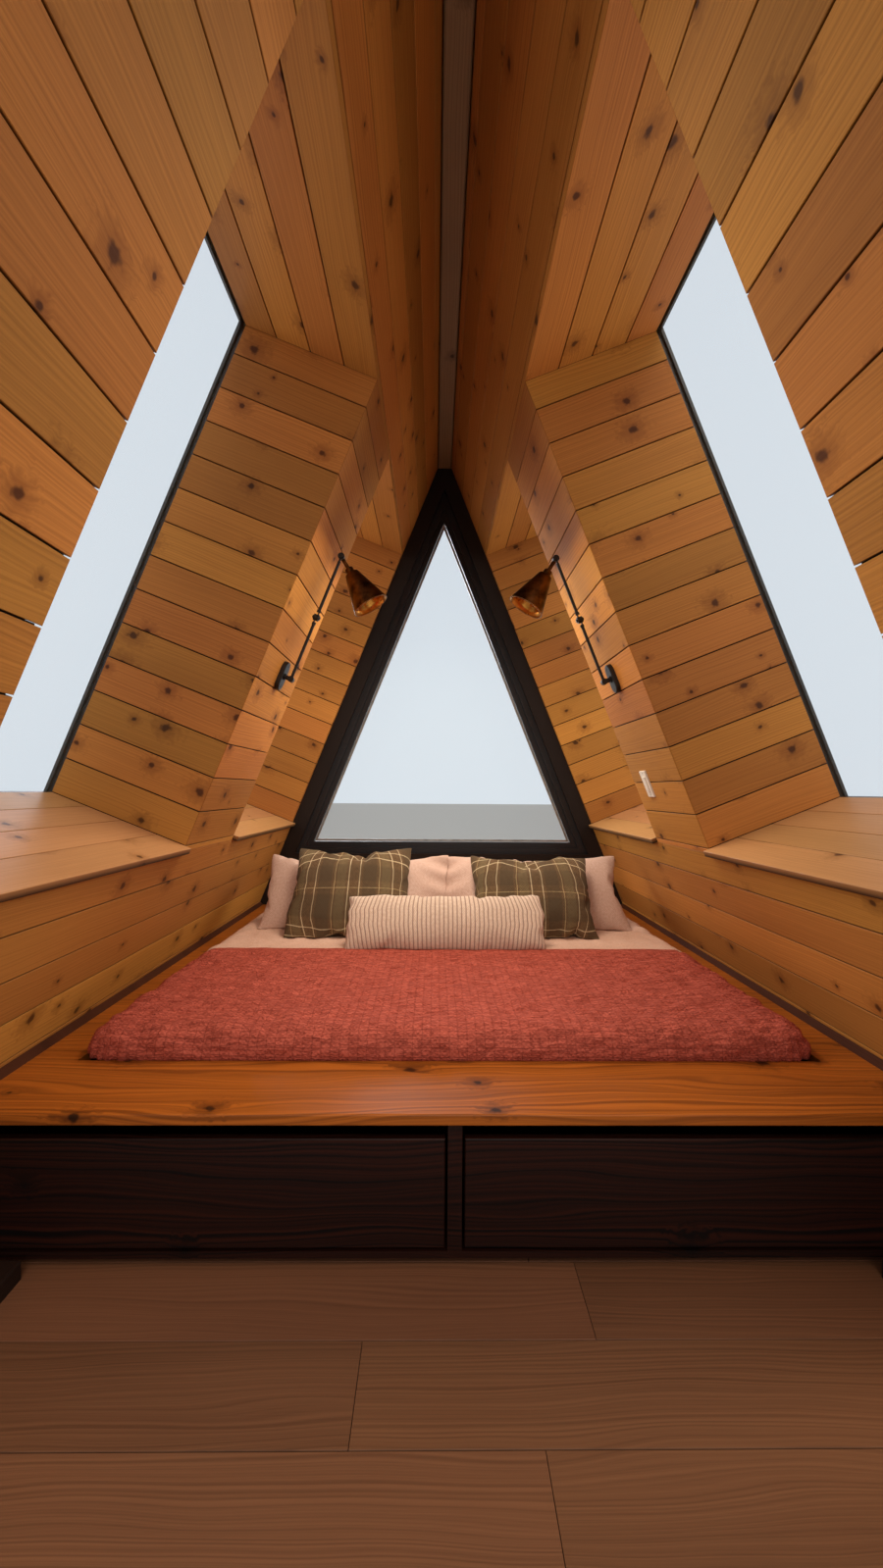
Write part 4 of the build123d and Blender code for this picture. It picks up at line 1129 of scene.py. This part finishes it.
def mattress():
    """Foam mattress: a rounded box, every face slightly crowned, from a superellipsoid."""
    low, high = (np.array(corner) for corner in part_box("mattress"))
    around = np.linspace(0, 2 * math.pi, 161)[:-1]
    rise = np.linspace(-math.pi / 2, math.pi / 2, 61)[1:-1]
    turn, tilt = np.meshgrid(around, rise)
    wide = np.cos(tilt) ** 0.22
    points = np.stack([wide * np.sign(np.cos(turn)) * np.abs(np.cos(turn)) ** 0.16,
                       wide * np.sign(np.sin(turn)) * np.abs(np.sin(turn)) ** 0.16,
                       np.sign(tilt) * np.abs(np.sin(tilt)) ** 0.5], -1)
    rows, columns = turn.shape
    points = np.concatenate([points.reshape(-1, 3), [[0, 0, -1], [0, 0, 1]]])
    points = points * (high - low) / 2 + (low + high) / 2
    index = np.arange(rows * columns).reshape(rows, columns)
    ahead = np.roll(index, -1, 1)
    sides = np.stack([index[:-1], ahead[:-1], ahead[1:], index[1:]], -1).reshape(-1, 4)
    foot, peak = rows * columns, rows * columns + 1
    fans = [np.stack([ahead[0], index[0], np.full(columns, foot)], -1),
            np.stack([index[-1], ahead[-1], np.full(columns, peak)], -1)]
    piece = make("mattress_foam", points, [sides, *fans], TICKING, "mattress_ticking",
                 replaces=["mattress"], uv=points[:, :2], smooth=True)


def bedding():
    """Mattress, quilt, sheet and the five pillows."""
    mattress()
    low, high = (np.array(corner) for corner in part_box("quilt"))
    draped_cover("quilt_gauze", "quilt", QUILT, "coral_quilt", (low, high + (0, 0, 0.003)),
                 0.082, (1, 0), ((0.026, 0.0013, 2.4), (0.060, 0.0018, 1.8), (0.17, 0.0022, 1.0)),
                 0.0055, 0.0, 0.008, 0.0066)
    low, high = (np.array(corner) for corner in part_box("bed_sheet"))
    draped_cover("bed_sheet_linen", "bed_sheet", SHEET, "blush_sheet", (low - (0, 0.02, 0), high),
                 0.060, (0, 1), ((0.05, 0.0006, 0.6), (0.13, 0.0016, 0.8)), 0.0, 0.095, 0.0015,
                 0.0085)
    for name, side in SIDES.items():
        leaning_pillow(f"{name}_bed_pillow_case", f"{name}_bed_pillow", PILLOWCASE,
                       "blush_pillow", (0.860, 0.370, 0.120), 0.018, 0.5, -side)
    for name, height in (("left", 0.430), ("right", 0.390)):
        leaning_pillow(f"{name}_plaid_pillow_wool", f"{name}_plaid_pillow", PLAID, "plaid_wool",
                       (0.556, height, 0.120), 0.018, 0.6)
    leaning_pillow("lumbar_pillow_cotton", "lumbar_pillow", STRIPES, "striped_cotton",
                   (0.820, 0.225, 0.100), 0.010, 0.85)


bedding()


# Studio


def studio():
    """Pale floor and surroundings, soft lamps on every side, and a small one above the bed."""
    floor = material("Pale studio floor", "#c4c2bd", 0.9)[0]
    size = 60.0
    mesh = bpy.data.meshes.new("studio_floor")
    mesh.from_pydata([(-size, -size, 0), (size, -size, 0), (size, size, 0), (-size, size, 0)],
                     [], [(0, 1, 2, 3)])
    mesh.materials.append(floor)
    ground = bpy.data.objects.new("studio_floor", mesh)
    bpy.context.scene.collection.objects.link(ground)

    world = bpy.data.worlds.new("studio")
    bpy.context.scene.world = world
    world.use_nodes = True
    tree = world.node_tree
    tree.nodes.clear()
    seen = add(tree, "LightPath").outputs
    shown = seen["Is Camera Ray"]
    for kind in ("Is Glossy Ray", "Is Transmission Ray"):
        shown = add(tree, "Math", {0: shown, 1: seen[kind]}, operation="MAXIMUM")
    light = add(tree, "Background", {"Color": "#f4f6fa", "Strength": 0.68})
    backdrop = add(tree, "Background", {"Color": "#dfe9f2", "Strength": 1.0})
    mixed = add(tree, "MixShader", {0: shown, 1: light, 2: backdrop})
    add(tree, "OutputWorld", {"Surface": mixed})

    # The bed lamp points straight down, which puts its first size along the bay
    for name, place, aim, size, power, colour in (
        ("key_lamp", (1.0, -7.5, 7.0), (0, 0, 1.4), (4.0, 4.0), 270.0, "#fff0de"),
        ("room_lamp", (0.0, -5.5, 2.0), (0, 0.6, 1.2), (2.6, 2.6), 8.0, "#fff3e4"),
        ("bed_lamp", (0.0, 0.25, 2.32), (0, 0.25, 0), (1.1, 0.4), 22.0, "#fff1e0"),
        ("back_lamp", (-3.0, 8.5, 5.0), (0, 0, 1.5), (5.0, 5.0), 330.0, "#f3f6ff"),
        ("left_lamp", (-7.0, 0.6, 4.2), (0, 0.3, 1.2), (4.5, 4.5), 400.0, "#fbf6ec"),
        ("right_lamp", (7.0, 0.6, 4.2), (0, 0.3, 1.2), (4.5, 4.5), 400.0, "#fbf6ec"),
    ):
        lamp = bpy.data.lights.new(name, "AREA")
        lamp.shape = "RECTANGLE"
        lamp.size, lamp.size_y = size
        lamp.energy = power
        lamp.color = linear(colour)[:3]
        holder = bpy.data.objects.new(name, lamp)
        holder.location = place
        towards = np.array(aim, float) - np.array(place, float)
        holder.rotation_euler = (
            math.atan2(math.hypot(towards[0], towards[1]), -towards[2]), 0,
            math.atan2(towards[1], towards[0]) - math.pi / 2,
        )
        holder.visible_camera = False
        holder.visible_glossy = size[0] > 3
        bpy.context.scene.collection.objects.link(holder)


def camera():
    """Camera solved from the photograph: just outside the open front, level with the pillows."""
    turn, pitch, roll = -0.0113557, 0.00971925, 0.00640389
    place = (-0.0512, -2.478, 1.364)
    focal_pixels, long_side, sensor = 640.0, 1599.0, 36.0
    yawed = np.array([[math.cos(turn), math.sin(turn), 0], [-math.sin(turn), math.cos(turn), 0],
                      [0, 0, 1]])
    tipped = np.array([[1, 0, 0], [0, math.cos(pitch), math.sin(pitch)],
                       [0, -math.sin(pitch), math.cos(pitch)]])
    rolled = np.array([[math.cos(roll), 0, math.sin(roll)], [0, 1, 0],
                       [-math.sin(roll), 0, math.cos(roll)]])
    right, forward, up = rolled @ tipped @ yawed
    eye = bpy.data.cameras.new("camera")
    eye.sensor_width = sensor
    eye.lens = sensor * focal_pixels / long_side
    eye.clip_start = 0.02
    holder = bpy.data.objects.new("camera", eye)
    matrix = np.eye(4)
    matrix[:3, 0], matrix[:3, 1], matrix[:3, 2], matrix[:3, 3] = right, up, -forward, place
    holder.matrix_world = Matrix(matrix.tolist())
    bpy.context.scene.collection.objects.link(holder)
    bpy.context.scene.camera = holder


studio()
camera()
bpy.context.scene.view_settings.view_transform = "Standard"
